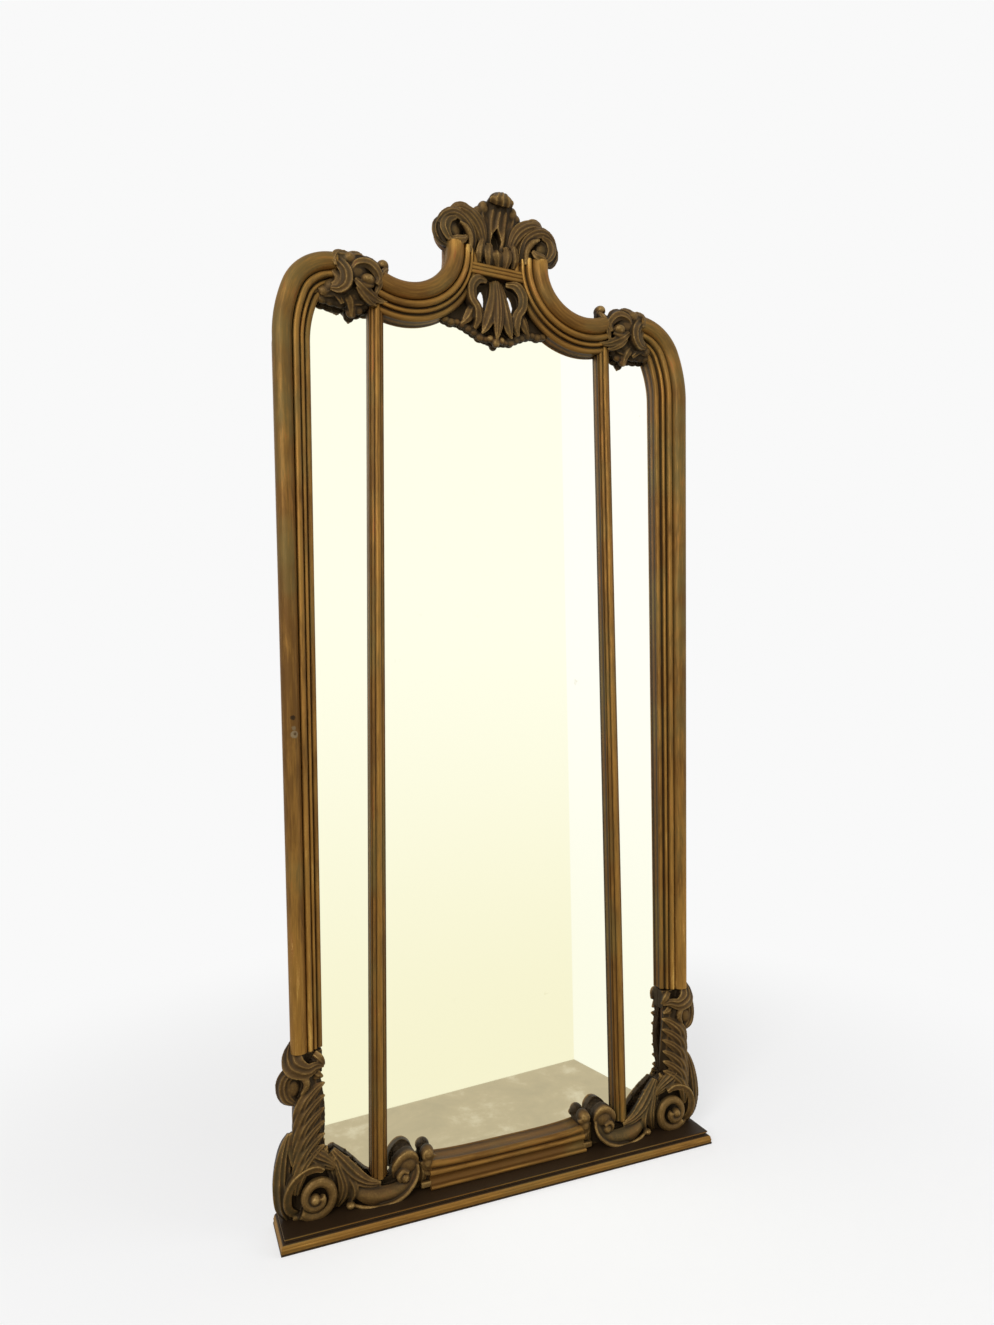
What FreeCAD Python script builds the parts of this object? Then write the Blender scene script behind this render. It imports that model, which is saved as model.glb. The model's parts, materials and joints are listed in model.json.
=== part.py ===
"""Giltwood overmantel mirror with three plates, every piece at its real size in millimetres.

X runs across the width, -Y faces the room, +Y the wall, +Z is up. The origin is the centre of
the plinth's underside. A jointed softwood frame stands on the plinth and carries the glass, the
backboards and, glued on its front, the run mouldings and the carved ornament. Pieces that come
in pairs are made for the right-hand side (+X) and mirrored.
"""
import FreeCAD, Part
import math
import os

V = FreeCAD.Vector
os.makedirs("parts", exist_ok=True)

# ---------------------------------------------------------------- driving dimensions
PLINTH_W, PLINTH_D, PLINTH_T = 880.0, 100.0, 25.0

SEAT_Y = 20.0                  # front of the back frame and of the glass
GLASS_T, FRAME_T, BOARD_T = 5.0, 22.0, 8.0
FRAME_Y = SEAT_Y + FRAME_T     # back of the frame, where the boards are nailed on
WALL_Y = FRAME_Y + BOARD_T

STILE_FOOT, STILE_TOP = 312.0, 1614.0          # heights of the stile moulding's two ends
STILE_FOOT_X, STILE_TOP_X = 418.5, 457.0       # its outer edge there: the stiles splay upwards
STILE_TAPER = 57.0 / 71.0                      # size of its section at the foot

SHOULDER = (337.4, 1680.0)     # centre of the tight upper arc
SHOULDER_R = 108.0             # its outer radius
SHOULDER_TURN = 70.0           # degrees turned by the tight arc, the wide one turns the rest
WIDE_R = 300.0                 # outer radius of the wide lower arc

SCROLL = (202.0, 1848.0)       # centre of the C-scroll
SCROLL_R = 89.0                # radius of its hollow, outer side
SCROLL_END = -63.0             # where it meets the shoulder ornament, degrees from +X
SCROLL_TOP = 1862.0            # height where it runs up under the crest volute

MULLION_X, MULLION_W, MULLION_D = 256.0, 29.0, 24.0
MULLION_FOOT, MULLION_HEAD = 62.0, 1722.0      # before the head is scribed
GLASS_FOOT, GLASS_HEAD = 60.0, 1725.0
GLASS_LAP = 8.0                # how far the glass runs behind the mouldings
MUNTIN_W = 14.0
LAP = 60.0                     # length of the halved joints at the stiles' heads
RAIL_LAP = (270.0, 300.0)      # where the shoulder boards are halved over the top rail
MUNTIN_LAP = 20.0
HALF_Y = SEAT_Y + FRAME_T / 2  # where the two halves of a joint meet

CROSSBAR_Z, CROSSBAR_H, CROSSBAR_D = 1824.0, 24.0, 24.0
KNOB = (102.0, 1890.0)         # centre of the crest volute
BASE_EYE = (383.0, 73.0)       # centre of the big volute on the plinth
SHOULDER_EYE = (277.0, 1737.0)
STEM_KNOB = (413.0, 254.0)     # centre of the rolled knob at the stile's foot
RAIL_HALF = 163.0              # half length of the bottom rail moulding
FINIAL_TOP = 1983.0

HANGER = (318.0, 1757.0)       # centre of a hanging plate
HANGER_W, HANGER_H, HANGER_T, HANGER_HOLE = 26.0, 34.0, 3.0, 10.0

# Section of the frame moulding: u runs in from the outer edge, v out from the seat. Each entry
# ends a member; a round one also gives its crown and the number of flats that it is cut in.
MOULDING_W = 71.0
MOULDING = (
    (5, 0),
    (5.3, 15.3),
    (36, 29, 5.3, 40.7, 7),    # big torus
    (49, 25, 42.5, 36, 4),     # ovolo band
    (58.5, 19, 54, 27, 3),     # outer reed
    (71, 9, 65, 20, 3),        # inner reed
    (71, 0),
)
CLEAR = 90.0                   # past any piece, for the reach of a cutting tool
CUT = 30.0                     # degrees turned by each flat of a carved curve
SWEEP_CUT = 9.0                # the same, along the swept mouldings and the sawn boards


# ---------------------------------------------------------------- flat outlines, in X and Z
def polar(centre, radius, degrees):
    """The (x, z) at a radius and an angle round a centre."""
    turn = math.radians(degrees)
    return centre[0] + radius * math.cos(turn), centre[1] + radius * math.sin(turn)


def arc_middle(start, end, bulge):
    """The middle of an arc that rises by bulge half chords to the left of its way."""
    return ((start[0] + end[0] - bulge * (end[1] - start[1])) / 2,
            (start[1] + end[1] + bulge * (end[0] - start[0])) / 2)


def on_arc(start, crown, end, count):
    """Points after the start of the arc through a crown, at even steps up to its end."""
    curve = Part.Arc(V(*start, 0), V(*crown, 0), V(*end, 0))
    first, last = curve.FirstParameter, curve.LastParameter
    if curve.value(last).distanceToPoint(V(*end, 0)) > 0.01:
        first, last = last, first
    steps = [curve.value(first + (last - first) * i / count) for i in range(1, count + 1)]
    return [(p.x, p.y) for p in steps]


def edges_of(start, steps):
    """The (start, end, bulge) of each edge along an outline's steps. A step is (x, z),
    (x, z, bulge) or (x, z, bulge, count): a straight edge, an arc, or a scalloped edge of that
    many equal arcs. On a clockwise outline a bulge above 0 is convex."""
    edges, here = [], start
    for x, z, *how in steps:
        bulge, count = (how + [0.0, 1][len(how):])[:2]
        for left in range(count - 1, -1, -1):
            part = left / (left + 1)
            there = (x + (here[0] - x) * part, z + (here[1] - z) * part)
            edges.append((here, there, bulge))
            here = there
    return edges


def outline(start, *steps):
    """A closed wire of straight edges and true arcs."""
    edges = edges_of(start, steps)
    if math.dist(edges[-1][1], start) > 0.001:
        edges.append((edges[-1][1], start, 0.0))
    shapes = []
    for a, b, bulge in edges:
        ends = V(a[0], 0, a[1]), V(b[0], 0, b[1])
        if bulge:
            x, z = arc_middle(a, b, bulge)
            shapes.append(Part.Arc(ends[0], V(x, 0, z), ends[1]).toShape())
        else:
            shapes.append(Part.LineSegment(*ends).toShape())
    return Part.Wire(shapes)


def carved_points(start, steps, cut=CUT):
    """The corners of an outline whose arcs are cut in short flats."""
    points = [start]
    for a, b, bulge in edges_of(start, steps):
        if bulge:
            flats = max(2, round(4 * math.degrees(math.atan(abs(bulge))) / cut))
            points += on_arc(a, arc_middle(a, b, bulge), b, flats)
        else:
            points.append(b)
    return points


def closed(points):
    corners = [V(x, 0, z) for x, z in points]
    if (corners[0] - corners[-1]).Length < 0.001:
        corners.pop()
    return Part.makePolygon(corners + [corners[0]])


def carved(start, *steps):
    """A closed carved outline."""
    return closed(carved_points(start, steps))


def sawn(start, *steps):
    """A closed outline for a board sawn to follow the swept mouldings."""
    return closed(carved_points(start, steps, SWEEP_CUT))


def carved_both(start, *steps):
    """A carved outline that runs down its right half, from the middle back to the middle, and
    is mirrored to the left."""
    right = carved_points(start, steps)
    return closed(right + [(-x, z) for x, z in reversed(right[1:-1])])


def slab(wire, back, front):
    """The wire's face as a solid between two depths."""
    face = Part.Face(wire)
    face.translate(V(0, back, 0))
    return face.extrude(V(0, front - back, 0))


def box(x0, x1, y0, y1, z0, z1):
    return Part.makeBox(x1 - x0, y1 - y0, z1 - z0, V(x0, y0, z0))


def other_side(shape):
    return shape.mirror(V(0, 0, 0), V(1, 0, 0))


def both(shape):
    return [shape, other_side(shape)]


def fused(*shapes):
    return shapes[0].multiFuse(list(shapes[1:])).removeSplitter()


# ---------------------------------------------------------------- carving, in flat chisel cuts
def facets(points):
    """One flat face through the points, or two where four of them don't lie flat."""
    corners = []
    for p in points:
        if not corners or (p - corners[-1]).Length > 1e-4:
            corners.append(p)
    if (corners[0] - corners[-1]).Length < 1e-4:
        corners.pop()
    if len(corners) < 3:
        return []
    a, b, c = corners[:3]
    if len(corners) == 4:
        normal = (b - a).cross(c - a)
        if abs(normal.dot(corners[3] - a)) > 1e-6 * normal.Length:
            return facets([a, b, c]) + facets([a, c, corners[3]])
    return [Part.Face(Part.makePolygon(corners + [a]))]


def faceted(rings):
    """A solid through rings of points; a ring of one point is a tip."""
    faces = []
    for low, high in zip(rings, rings[1:]):
        count = max(len(low), len(high))
        for i in range(count):
            j = (i + 1) % count
            faces += facets([
                low[i % len(low)], low[j % len(low)], high[j % len(high)], high[i % len(high)],
            ])
    for end in (rings[0], rings[-1]):
        if len(end) > 2:
            faces.append(Part.Face(Part.makePolygon(list(end) + [end[0]])))
    shell = Part.makeShell(faces)
    shell.sewShape()
    solid = Part.makeSolid(shell)
    if solid.Volume < 0:
        solid.reverse()
    return solid


def rib(points, width, rise, foot, start=0.4, cuts=5, sink=2.0):
    """A carved leaf rib: a ridge through a few (x, z) points, standing on the depth foot. It
    swells from start times its width and runs out to a point."""
    curve = Part.BSplineCurve()
    curve.interpolate([V(x, 0, z) for x, z in points])
    first, last = curve.FirstParameter, curve.LastParameter
    rings = []
    for i in range(cuts):
        t = i / cuts
        at = first + (last - first) * t
        middle, way = curve.value(at), curve.tangent(at)[0]
        size = start * (1 - t) + (1 - start / 2) * math.sin(math.pi * t)
        reach = V(-way.z, 0, way.x) * (width * size / 2)
        left, right = middle + reach, middle - reach
        crest = middle + V(0, foot - rise * size, 0)
        left.y = right.y = foot + sink
        rings.append([left, crest, right])
    tip = curve.value(last)
    rings.append([V(tip.x, foot + sink, tip.z)])
    return faceted(rings)


def boss(centre, half, foot, rise, lean=0.0, sides=8, sink=2.0):
    """A rounded lobe with an oval foot of half sizes half, turned by lean degrees."""
    rings = []
    for size, depth in ((1.0, foot + sink), (0.92, foot - rise * 0.5), (0.5, foot - rise * 0.92)):
        ring = []
        for i in range(sides):
            turn = 2 * math.pi * (i + 0.5) / sides
            ring.append(V(half[0] * size * math.cos(turn), depth, half[1] * size * math.sin(turn)))
        rings.append(ring)
    rings.append([V(0, foot - rise, 0)])
    solid = faceted(rings)
    solid.rotate(V(0, 0, 0), V(0, 1, 0), lean)
    solid.translate(V(centre[0], 0, centre[1]))
    return solid


def roll(centre, radius, back, front, sides=14):
    """A round member seen end on, such as a rolled leaf or the eye of a volute."""
    ring = [polar(centre, radius, 360 * (i + 0.5) / sides) for i in range(sides)]
    return slab(closed(ring), back, front)


def compass_spiral(centre, radius, step, start, quarters, turn):
    """Points of quarter arcs struck with a compass whose radius shrinks by a step at each
    quarter, then the last centre."""
    points, flats = [polar(centre, radius, start)], round(90 / CUT)
    for _ in range(quarters):
        points += [polar(centre, radius, start + turn * CUT * i) for i in range(1, flats + 1)]
        start += turn * 90
        centre = polar(centre, step, start)
        radius -= step
    return points, centre


def volute(centre, radius, band, quarters, back, front, start, turn=1, end_band=2.5):
    """A scroll: a band that winds in to a round eye, cut square between two depths."""
    eye = band * 0.75
    step = (radius - eye) / quarters
    inner_step = step - (band - end_band) / quarters
    outer, eye_centre = compass_spiral(centre, radius, step, start, quarters, turn)
    inner, _ = compass_spiral(centre, radius - band, inner_step, start, quarters, turn)
    winding = slab(closed(outer + inner[::-1]), back, front)
    return fused(winding, roll(eye_centre, eye, back, front, 10))


# ---------------------------------------------------------------- run mouldings
def moulding_points():
    """The corners of the moulding's section, in u and v."""
    points = [MOULDING[0]]
    for u, v, *crown in MOULDING[1:]:
        if crown:
            points += on_arc(points[-1], crown[:2], (u, v), crown[2])
        else:
            points.append((u, v))
    return points


def radial_ring(centre, degrees, radius, inward):
    """The moulding's section on a ray from a centre, its outer edge at the radius."""
    ring = []
    for u, v in moulding_points():
        x, z = polar(centre, radius + inward * u, degrees)
        ring.append(V(x, SEAT_Y - v, z))
    return ring


def swept_rings(centre, start, end, radius, inward):
    """Sections at even steps round a centre, from one angle to another."""
    count = max(2, round(abs(end - start) / SWEEP_CUT))
    return [radial_ring(centre, start + (end - start) * i / count, radius, inward)
            for i in range(count + 1)]


WIDE = polar(SHOULDER, SHOULDER_R - WIDE_R, 90 - SHOULDER_TURN)    # centre of the wide arc


def stile_moulding():
    rings = []
    for x, z, size in ((STILE_FOOT_X, STILE_FOOT, STILE_TAPER), (STILE_TOP_X, STILE_TOP, 1.0)):
        rings.append([V(x - u * size, SEAT_Y - v * size, z) for u, v in moulding_points()])
    return faceted(rings)


def shoulder_moulding():
    join = 90 - SHOULDER_TURN
    wide = swept_rings(WIDE, 0, join, WIDE_R, -1)
    return faceted(wide + swept_rings(SHOULDER, join, 90, SHOULDER_R, -1)[1:])


def c_scroll():
    rings = swept_rings(SCROLL, SCROLL_END, -180, SCROLL_R, 1)
    rise = V(0, 0, SCROLL_TOP - SCROLL[1])
    return faceted(rings + [[corner + rise for corner in rings[-1]]])


def mullion(head_cutters):
    """A reeded half-round bar, scribed at its head against what it meets."""
    half, depth = MULLION_W / 2, MULLION_D
    right = [(half, 0), (half, 9)]
    right += on_arc((half, 9), (half - 2, 14), (half - 6, 14), 3)
    right += on_arc((half - 6, 14), (half * 0.35, depth - 2), (0, depth), 4)
    left = [(-x, v) for x, v in reversed(right[:-1])]
    corners = [V(MULLION_X + x, SEAT_Y - v, MULLION_FOOT) for x, v in right + left]
    bar = Part.Face(Part.makePolygon(corners + [corners[0]])).extrude(V(0, 0, MULLION_HEAD - MULLION_FOOT))
    return largest(bar.cut(head_cutters))


def largest(shape):
    return max(shape.Solids, key=lambda solid: solid.Volume)


def crossbar(arms):
    """Three reeds between the C-scrolls, scribed against them."""
    low, reed = CROSSBAR_Z - CROSSBAR_H / 2, CROSSBAR_H / 3
    corners = [(SEAT_Y, low)]
    for i, depth in enumerate((CROSSBAR_D - 5, CROSSBAR_D - 2, CROSSBAR_D - 5)):
        foot = (SEAT_Y - depth, low + reed * i)
        corners.append(foot)
        corners += on_arc(foot, (foot[0] - 5, foot[1] + reed / 2), (foot[0], foot[1] + reed), 4)
    corners.append((SEAT_Y, low + CROSSBAR_H))
    reach = SCROLL[0] - SCROLL_R - MOULDING_W / 2
    section = [V(-reach, y, z) for y, z in corners]
    bar = Part.Face(Part.makePolygon(section + [section[0]])).extrude(V(2 * reach, 0, 0))
    return largest(bar.cut(arms))


def bottom_rail_moulding():
    """The straight lower members, and a torus above that sweeps up into a small roll each end."""
    members = [(0, 0), (29, 0)]
    members += on_arc((29, 0), (32, 4), (29, 8), 3)
    members += [(26, 10)] + on_arc((26, 10), (20, 16), (23, 23), 3)
    members += on_arc((23, 23), (28, 27), (25, 31), 3)
    members += [(22, 32), (0, 32)]
    section = [V(-RAIL_HALF, SEAT_Y - v, PLINTH_T + z) for v, z in members]
    lower = Part.Face(Part.makePolygon(section + [section[0]])).extrude(V(2 * RAIL_HALF, 0, 0))

    rise = 12.0
    base, crown = PLINTH_T + 30, PLINTH_T + 46
    upper = slab(carved_both(
        (0, crown), (105, crown), (RAIL_HALF, crown + rise, -0.12), (RAIL_HALF, base), (0, base),
    ), SEAT_Y, SEAT_Y - 22)
    bevel = faceted([
        [V(x, SEAT_Y - 24, crown - 11), V(x, SEAT_Y - 24, crown + 30), V(x, SEAT_Y - 5, crown + 30)]
        for x in (-100, 100)
    ])
    end_roll = roll((RAIL_HALF - 4, crown + rise - 2), 10, SEAT_Y, SEAT_Y - 30)
    return fused(lower, upper.cut(bevel), *both(end_roll))


def plinth():
    """A board with a moulded front edge that returns, mitred, along both ends."""
    half, depth = PLINTH_W / 2, PLINTH_D
    nose = [(6, 25), (6, 21), (8, 19.5), (8, 17)]
    nose += on_arc((8, 17), (1.5, 12), (0, 4), 4) + [(1.5, 0)]
    front = [V(-half, -depth / 2 + d, z) for d, z in nose] + [V(-half, depth / 2, z) for z in (0, 25)]
    ends = [V(-half + d, depth / 2, z) for d, z in nose]
    ends += [V(-p.x, p.y, p.z) for p in reversed(ends)]
    across = Part.Face(Part.makePolygon(front + [front[0]])).extrude(V(2 * half, 0, 0))
    deep = Part.Face(Part.makePolygon(ends + [ends[0]])).extrude(V(0, -depth, 0))
    return across.common(deep).removeSplitter()


# ---------------------------------------------------------------- carved ornament
def knob_wire():
    """The crest volute from the front: a neck off the C-scroll and a scalloped, rolled leaf."""
    x, z = KNOB
    return carved(
        (42, SCROLL_TOP), (45, z + 8), (64, z + 33, 0.2), (x + 26, z + 28, 0.35, 2),
        (x + 38, z - 4, 0.35, 2), (x + 16, z - 38, 0.4, 2), (113, SCROLL_TOP),
    )


def crest_volute(arm):
    """A neck that carries the C-scroll's reeds up, and the leaf ball that they roll into."""
    neck = SEAT_Y - 24
    x, z = KNOB
    ball = boss((x + 3, z - 1), (37, 35), neck, 26, sides=10)
    leaves = [
        rib([(x - 46, z - 26), (x - 45, z + 6), (x - 22, z + 32)], 20, 20, neck, start=0.7),
        rib([(x - 30, z + 24), (x - 2, z + 30), (x + 26, z + 20)], 18, 20, neck),
        rib([(x + 30, z + 14), (x + 36, z - 8), (x + 26, z - 28)], 14, 16, neck),
        rib([(x - 14, z - 34), (x - 4, z - 16), (x + 12, z + 2)], 20, 32, neck),
    ]
    return largest(fused(slab(knob_wire(), SEAT_Y, neck), ball, *leaves).cut(arm))


def plume():
    """The tall fluted leaf of the crest, its tip curling forward."""
    flutes = 4
    path = (             # depth of the front, height, forward lean, half width, thickness
        (0, -137, 0, 19, 18), (-6, -83, 4, 31, 24), (-12, -44, 10, 37, 26),
        (-26, -26, 35, 30, 24), (-42, -18, 65, 25, 20), (-54, -22, 100, 17, 13),
    )
    rings = []
    for y, below_top, lean, half, thick in path:
        a = math.radians(lean)
        out = V(0, -math.cos(a), -math.sin(a))
        front = V(0, y, FINIAL_TOP + below_top)
        ring = []
        for i in range(2 * flutes + 1):
            side = i / flutes - 1
            valley = 0 if i % 2 else 4.5
            ring.append(front + V(half * side, 0, 0) - out * (valley + 0.25 * half * side ** 2))
        rings.append(ring + [front + V(x, 0, 0) - out * thick for x in (half, -half)])
    return faceted(rings)


def crest_cartouche(knobs):
    face, top, foot = SEAT_Y - 24, FINIAL_TOP, CROSSBAR_Z + CROSSBAR_H / 2
    body = slab(carved_both(
        (0, top - 8), (26, top - 26, 0.35), (24, top - 35), (45, top - 37, 0.4),
        (46, top - 46), (74, top - 44, 0.4), (101, top - 57, 0.4), (96, 1918), (64, 1910),
        (42, 1884), (42, foot), (0, foot),
    ), SEAT_Y, face)
    side_lobes = [
        rib([(30, 1882), (38, 1912), (66, 1934), (98, 1930)], 22, 13, face),
        rib([(28, 1900), (34, 1924), (46, 1943)], 14, 11, face),
        rib([(34, 1846), (40, 1872), (38, 1896)], 9, 8, face),
        boss((21, 1862), (9, 19), face, 13, lean=-8),
    ]
    sides = [piece for lobe in side_lobes for piece in both(lobe)]
    whole = fused(body, plume(), boss((0, 1857), (10, 17), face, 15), *sides)
    drop = carved((0, 1928), (11, 1905, 0.15), (-11, 1905, 1.0), (0, 1928, 0.15))
    return largest(whole.cut([slab(drop, SEAT_Y - 6, -CLEAR), *knobs]))


def crest_pendant(neighbours):
    """The palmette under the crossbar: fluted lobes, two pierced eyes, and a leaf fringe that
    runs out along the C-scrolls."""
    back, face = SEAT_Y - 3, SEAT_Y - 18
    top = CROSSBAR_Z - CROSSBAR_H / 2
    under_arm = [polar(SCROLL, SCROLL_R + MOULDING_W - 9, turn) for turn in (193, 214, 236)]
    body = slab(carved_both(
        (0, top), *under_arm, (126, 1712), (96, 1704, 0.5, 2), (60, 1710, 0.5, 2),
        (50, 1694, 0.5), (24, 1686, 0.6), (0, 1666, 0.5),
    ), back, face)
    side_ribs = [
        rib([(12, top - 4), (15, 1755), (30, 1694)], 13, 10, face),
        rib([(46, top - 8), (50, 1770), (44, 1735), (52, 1702)], 13, 9, face),
        rib([(62, 1722), (84, 1714), (112, 1707)], 8, 6, face),
    ]
    middle = rib([(0, top - 2), (0, 1740), (0, 1672)], 16, 14, face)
    whole = fused(body, middle, *(piece for one in side_ribs for piece in both(one)))
    eye = slab(carved((32, 1786), (41, 1760, 0.3), (25, 1756, 1.0), (32, 1786, 0.2)), CLEAR, -CLEAR)
    return largest(whole.cut([*both(eye), *neighbours]))


def shoulder_ornament(neighbours):
    """The leaf bunch between the shoulder and the C-scroll, with a small volute for its eye."""
    face = SEAT_Y - 50
    hollow = polar(SCROLL, SCROLL_R, SCROLL_END)
    glass_side = polar(SCROLL, SCROLL_R + MOULDING_W, SCROLL_END)
    crown, foot = SHOULDER[1] + SHOULDER_R, SHOULDER[1] + SHOULDER_R - MOULDING_W
    core = slab(carved(
        hollow, (266, 1774, 0.2), (SHOULDER[0], crown, 0.35, 3), (SHOULDER[0], foot), glass_side,
    ), SEAT_Y, face)
    fringe = slab(carved(
        (268, 1722), (366, 1722), (377, 1706, 0.4), (346, 1690, 0.5, 2), (318, 1687, 0.4),
        (303, 1672, 0.4), (278, 1697, 0.5),
    ), SEAT_Y - 2, SEAT_Y - 26)
    curl = roll((244, 1785), 13, SEAT_Y, SEAT_Y - 36, 12)
    stem = slab(carved((238, 1764), (236, 1778), (262, 1780), (268, 1760)), SEAT_Y, face + 14)
    eye = volute(SHOULDER_EYE, 21, 8, 5, face + 2, face - 10, 20)
    leaves = [
        rib([(298, 1752), (318, 1776), (346, 1782)], 18, 12, face),
        rib([(308, 1744), (326, 1758), (351, 1762)], 16, 11, face),
        rib([(334, 1752), (322, 1734), (330, 1716), (350, 1714)], 17, 12, face),
        rib([(266, 1750), (280, 1770), (306, 1782)], 14, 10, face),
        rib([(306, 1716), (330, 1702), (368, 1706)], 16, 10, SEAT_Y - 26),
        rib([(290, 1712), (300, 1696), (303, 1678)], 16, 10, SEAT_Y - 26),
    ]
    return largest(fused(core, fringe, curl, stem, eye, *leaves).cut(neighbours))


def stem_leaf():
    """The carved foot of the stile: collar, rolled knob and a fluted, serrated stem."""
    face = SEAT_Y - 34
    collar = faceted([
        [V(x0, SEAT_Y, z), V(x0, SEAT_Y - deep * 0.6, z), V(x0 + 14, SEAT_Y - deep, z),
         V(x1 - 14, SEAT_Y - deep, z), V(x1, SEAT_Y - deep * 0.6, z), V(x1, SEAT_Y, z)]
        for z, x0, x1, deep in ((286, 362, 416, 34), (300, 354, 426, 46), (STILE_FOOT, 359, 422, 42))
    ])
    stem = slab(carved(
        (352, 143), (349, 206, -0.35, 3), (355, 290, -0.35, 4), (412, 290), (413, 238),
        (409, 143),
    ), SEAT_Y, face)
    x, z = STEM_KNOB
    knob = boss(STEM_KNOB, (25, 26), SEAT_Y, 44, sides=10, sink=0)
    ribs = [
        rib([(364, 286), (362, 240), (366, 190), (372, 146)], 13, 10, face),
        rib([(380, 280), (376, 220), (382, 150)], 16, 12, face),
        rib([(396, 230), (392, 190), (396, 148)], 14, 10, face),
        rib([(x - 33, z + 16), (x - 15, z + 26), (x + 8, z + 18)], 14, 16, face),
        rib([(x - 22, z - 20), (x - 20, z), (x - 4, z + 10)], 13, 16, face),
    ]
    return fused(collar, stem, knob, *ribs)


def base_volute():
    """The big volute on the plinth, with the leaf tip that flares out behind the stem."""
    face = SEAT_Y - 36
    x, z = BASE_EYE
    body = slab(carved(
        (338, PLINTH_T), (333, z, 0.2), (340, 128, -0.1), (352, 143, 0.2), (414, 143),
        (431, 176, -0.2), (438, 146, 0.1), (440, 92, 0.1), (419, PLINTH_T, 0.2),
    ), SEAT_Y, face)
    scroll = volute(BASE_EYE, 47, 13, 6, face + 2, face - 14, 140, turn=-1)
    ribs = [
        rib([(430, 170), (425, 136), (433, 90), (426, 46)], 12, 10, face),
        rib([(352, 138), (372, 124), (404, 128), (420, 140)], 13, 9, face),
    ]
    return fused(body, scroll, *ribs)


def base_leaf_scroll(neighbours):
    """The leaf between the volute and the rail: spray, boat under the mullion, rolled end."""
    face = SEAT_Y - 22
    body = slab(carved(
        (RAIL_HALF, PLINTH_T), (176, 62, 0.2), (186, 98, 0.2), (212, 113, 0.35),
        (238, 92, 0.4), (241.5, 62), (270.5, 62), (296, 84, -0.15), (335, 134, 0.3, 3),
        (345, PLINTH_T),
    ), SEAT_Y, face)
    scroll = volute((208, 86), 22, 8, 4, face + 2, face - 12, 180, turn=-1)
    boat = boss((258, 46), (38, 17), face, 14, sides=12)
    ribs = [
        rib([(290, 32), (306, 70), (332, 118)], 16, 12, face),
        rib([(272, 60), (298, 88), (326, 124)], 13, 9, face),
        rib([(312, 32), (322, 62), (334, 96)], 14, 10, face),
        rib([(184, 34), (186, 60), (194, 78)], 13, 9, face),
        rib([(176, 34), (196, 32), (222, 36)], 12, 8, face),
    ]
    return largest(fused(body, scroll, boat, *ribs).cut(neighbours))


# ---------------------------------------------------------------- glass, frame and back
def glass_edge(z):
    """Where the glass ends behind the straight stile moulding, at a height."""
    foot = STILE_FOOT_X - MOULDING_W * STILE_TAPER
    head = STILE_TOP_X - MOULDING_W
    return foot + (head - foot) * (z - STILE_FOOT) / (STILE_TOP - STILE_FOOT) + GLASS_LAP


def stile_edge(z):
    """Where the back stile ends, a little inside the moulding's outer edge."""
    rise = (z - STILE_FOOT) / (STILE_TOP - STILE_FOOT)
    return STILE_FOOT_X + (STILE_TOP_X - STILE_FOOT_X) * rise - 6


def centre_plate():
    half = MULLION_X - MUNTIN_W / 2 - 0.5
    return box(-half, half, SEAT_Y, SEAT_Y + GLASS_T, GLASS_FOOT, GLASS_HEAD)


def side_plate():
    inner = MULLION_X + MUNTIN_W / 2 + 0.5
    wide, tight = WIDE_R - MOULDING_W + GLASS_LAP, SHOULDER_R - MOULDING_W + GLASS_LAP
    start = 90 - SHOULDER_TURN
    wire = outline(
        (inner, GLASS_FOOT), (inner, GLASS_HEAD), polar(SHOULDER, tight, 90),
        (*polar(SHOULDER, tight, start), math.tan(math.radians(SHOULDER_TURN / 4))),
        (*polar(WIDE, wide, 0), math.tan(math.radians(start / 4))),
        (glass_edge(GLASS_FOOT), GLASS_FOOT),
    )
    return slab(wire, SEAT_Y, SEAT_Y + GLASS_T)


def back_stile():
    """A tapered stile, halved at the foot over the bottom rail and at the head under the
    shoulder board."""
    foot, head = PLINTH_T, STILE_TOP
    wire = outline(
        (glass_edge(foot) + 1, foot), (glass_edge(head) + 1, head), (stile_edge(head), head),
        (stile_edge(foot), foot),
    )
    stile = slab(wire, SEAT_Y, FRAME_Y)
    foot_lap = box(MULLION_X, PLINTH_W, HALF_Y, FRAME_Y, foot, GLASS_FOOT - 1)
    head_lap = box(MULLION_X, PLINTH_W, HALF_Y, FRAME_Y, head - LAP, head)
    return stile.cut([foot_lap, head_lap])


def back_shoulder():
    """The curved board at the top corner, halved onto the stile and onto the top rail."""
    start = 90 - SHOULDER_TURN
    outer, inner = 6, -MOULDING_W + GLASS_LAP + 1
    foot = STILE_TOP - LAP
    wire = sawn(
        (glass_edge(foot) + 1, foot), (glass_edge(STILE_TOP) + 1, STILE_TOP),
        (*polar(SHOULDER, SHOULDER_R + inner, start), -math.tan(math.radians(start / 4))),
        (*polar(SHOULDER, SHOULDER_R + inner, 90), -math.tan(math.radians(SHOULDER_TURN / 4))),
        (RAIL_LAP[0], GLASS_HEAD + 1), (RAIL_LAP[0], 1770),
        polar(SHOULDER, SHOULDER_R - outer, 90),
        (*polar(SHOULDER, SHOULDER_R - outer, start), math.tan(math.radians(SHOULDER_TURN / 4))),
        (*polar(WIDE, WIDE_R - outer, 0), math.tan(math.radians(start / 4))),
        (stile_edge(foot), foot),
    )
    board = slab(wire, SEAT_Y, FRAME_Y)
    stile_lap = box(MULLION_X, PLINTH_W, SEAT_Y, HALF_Y, foot, STILE_TOP)
    rail_lap = box(0, RAIL_LAP[1], HALF_Y, FRAME_Y, GLASS_HEAD, SCROLL_TOP)
    return board.cut([stile_lap, rail_lap])


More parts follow.
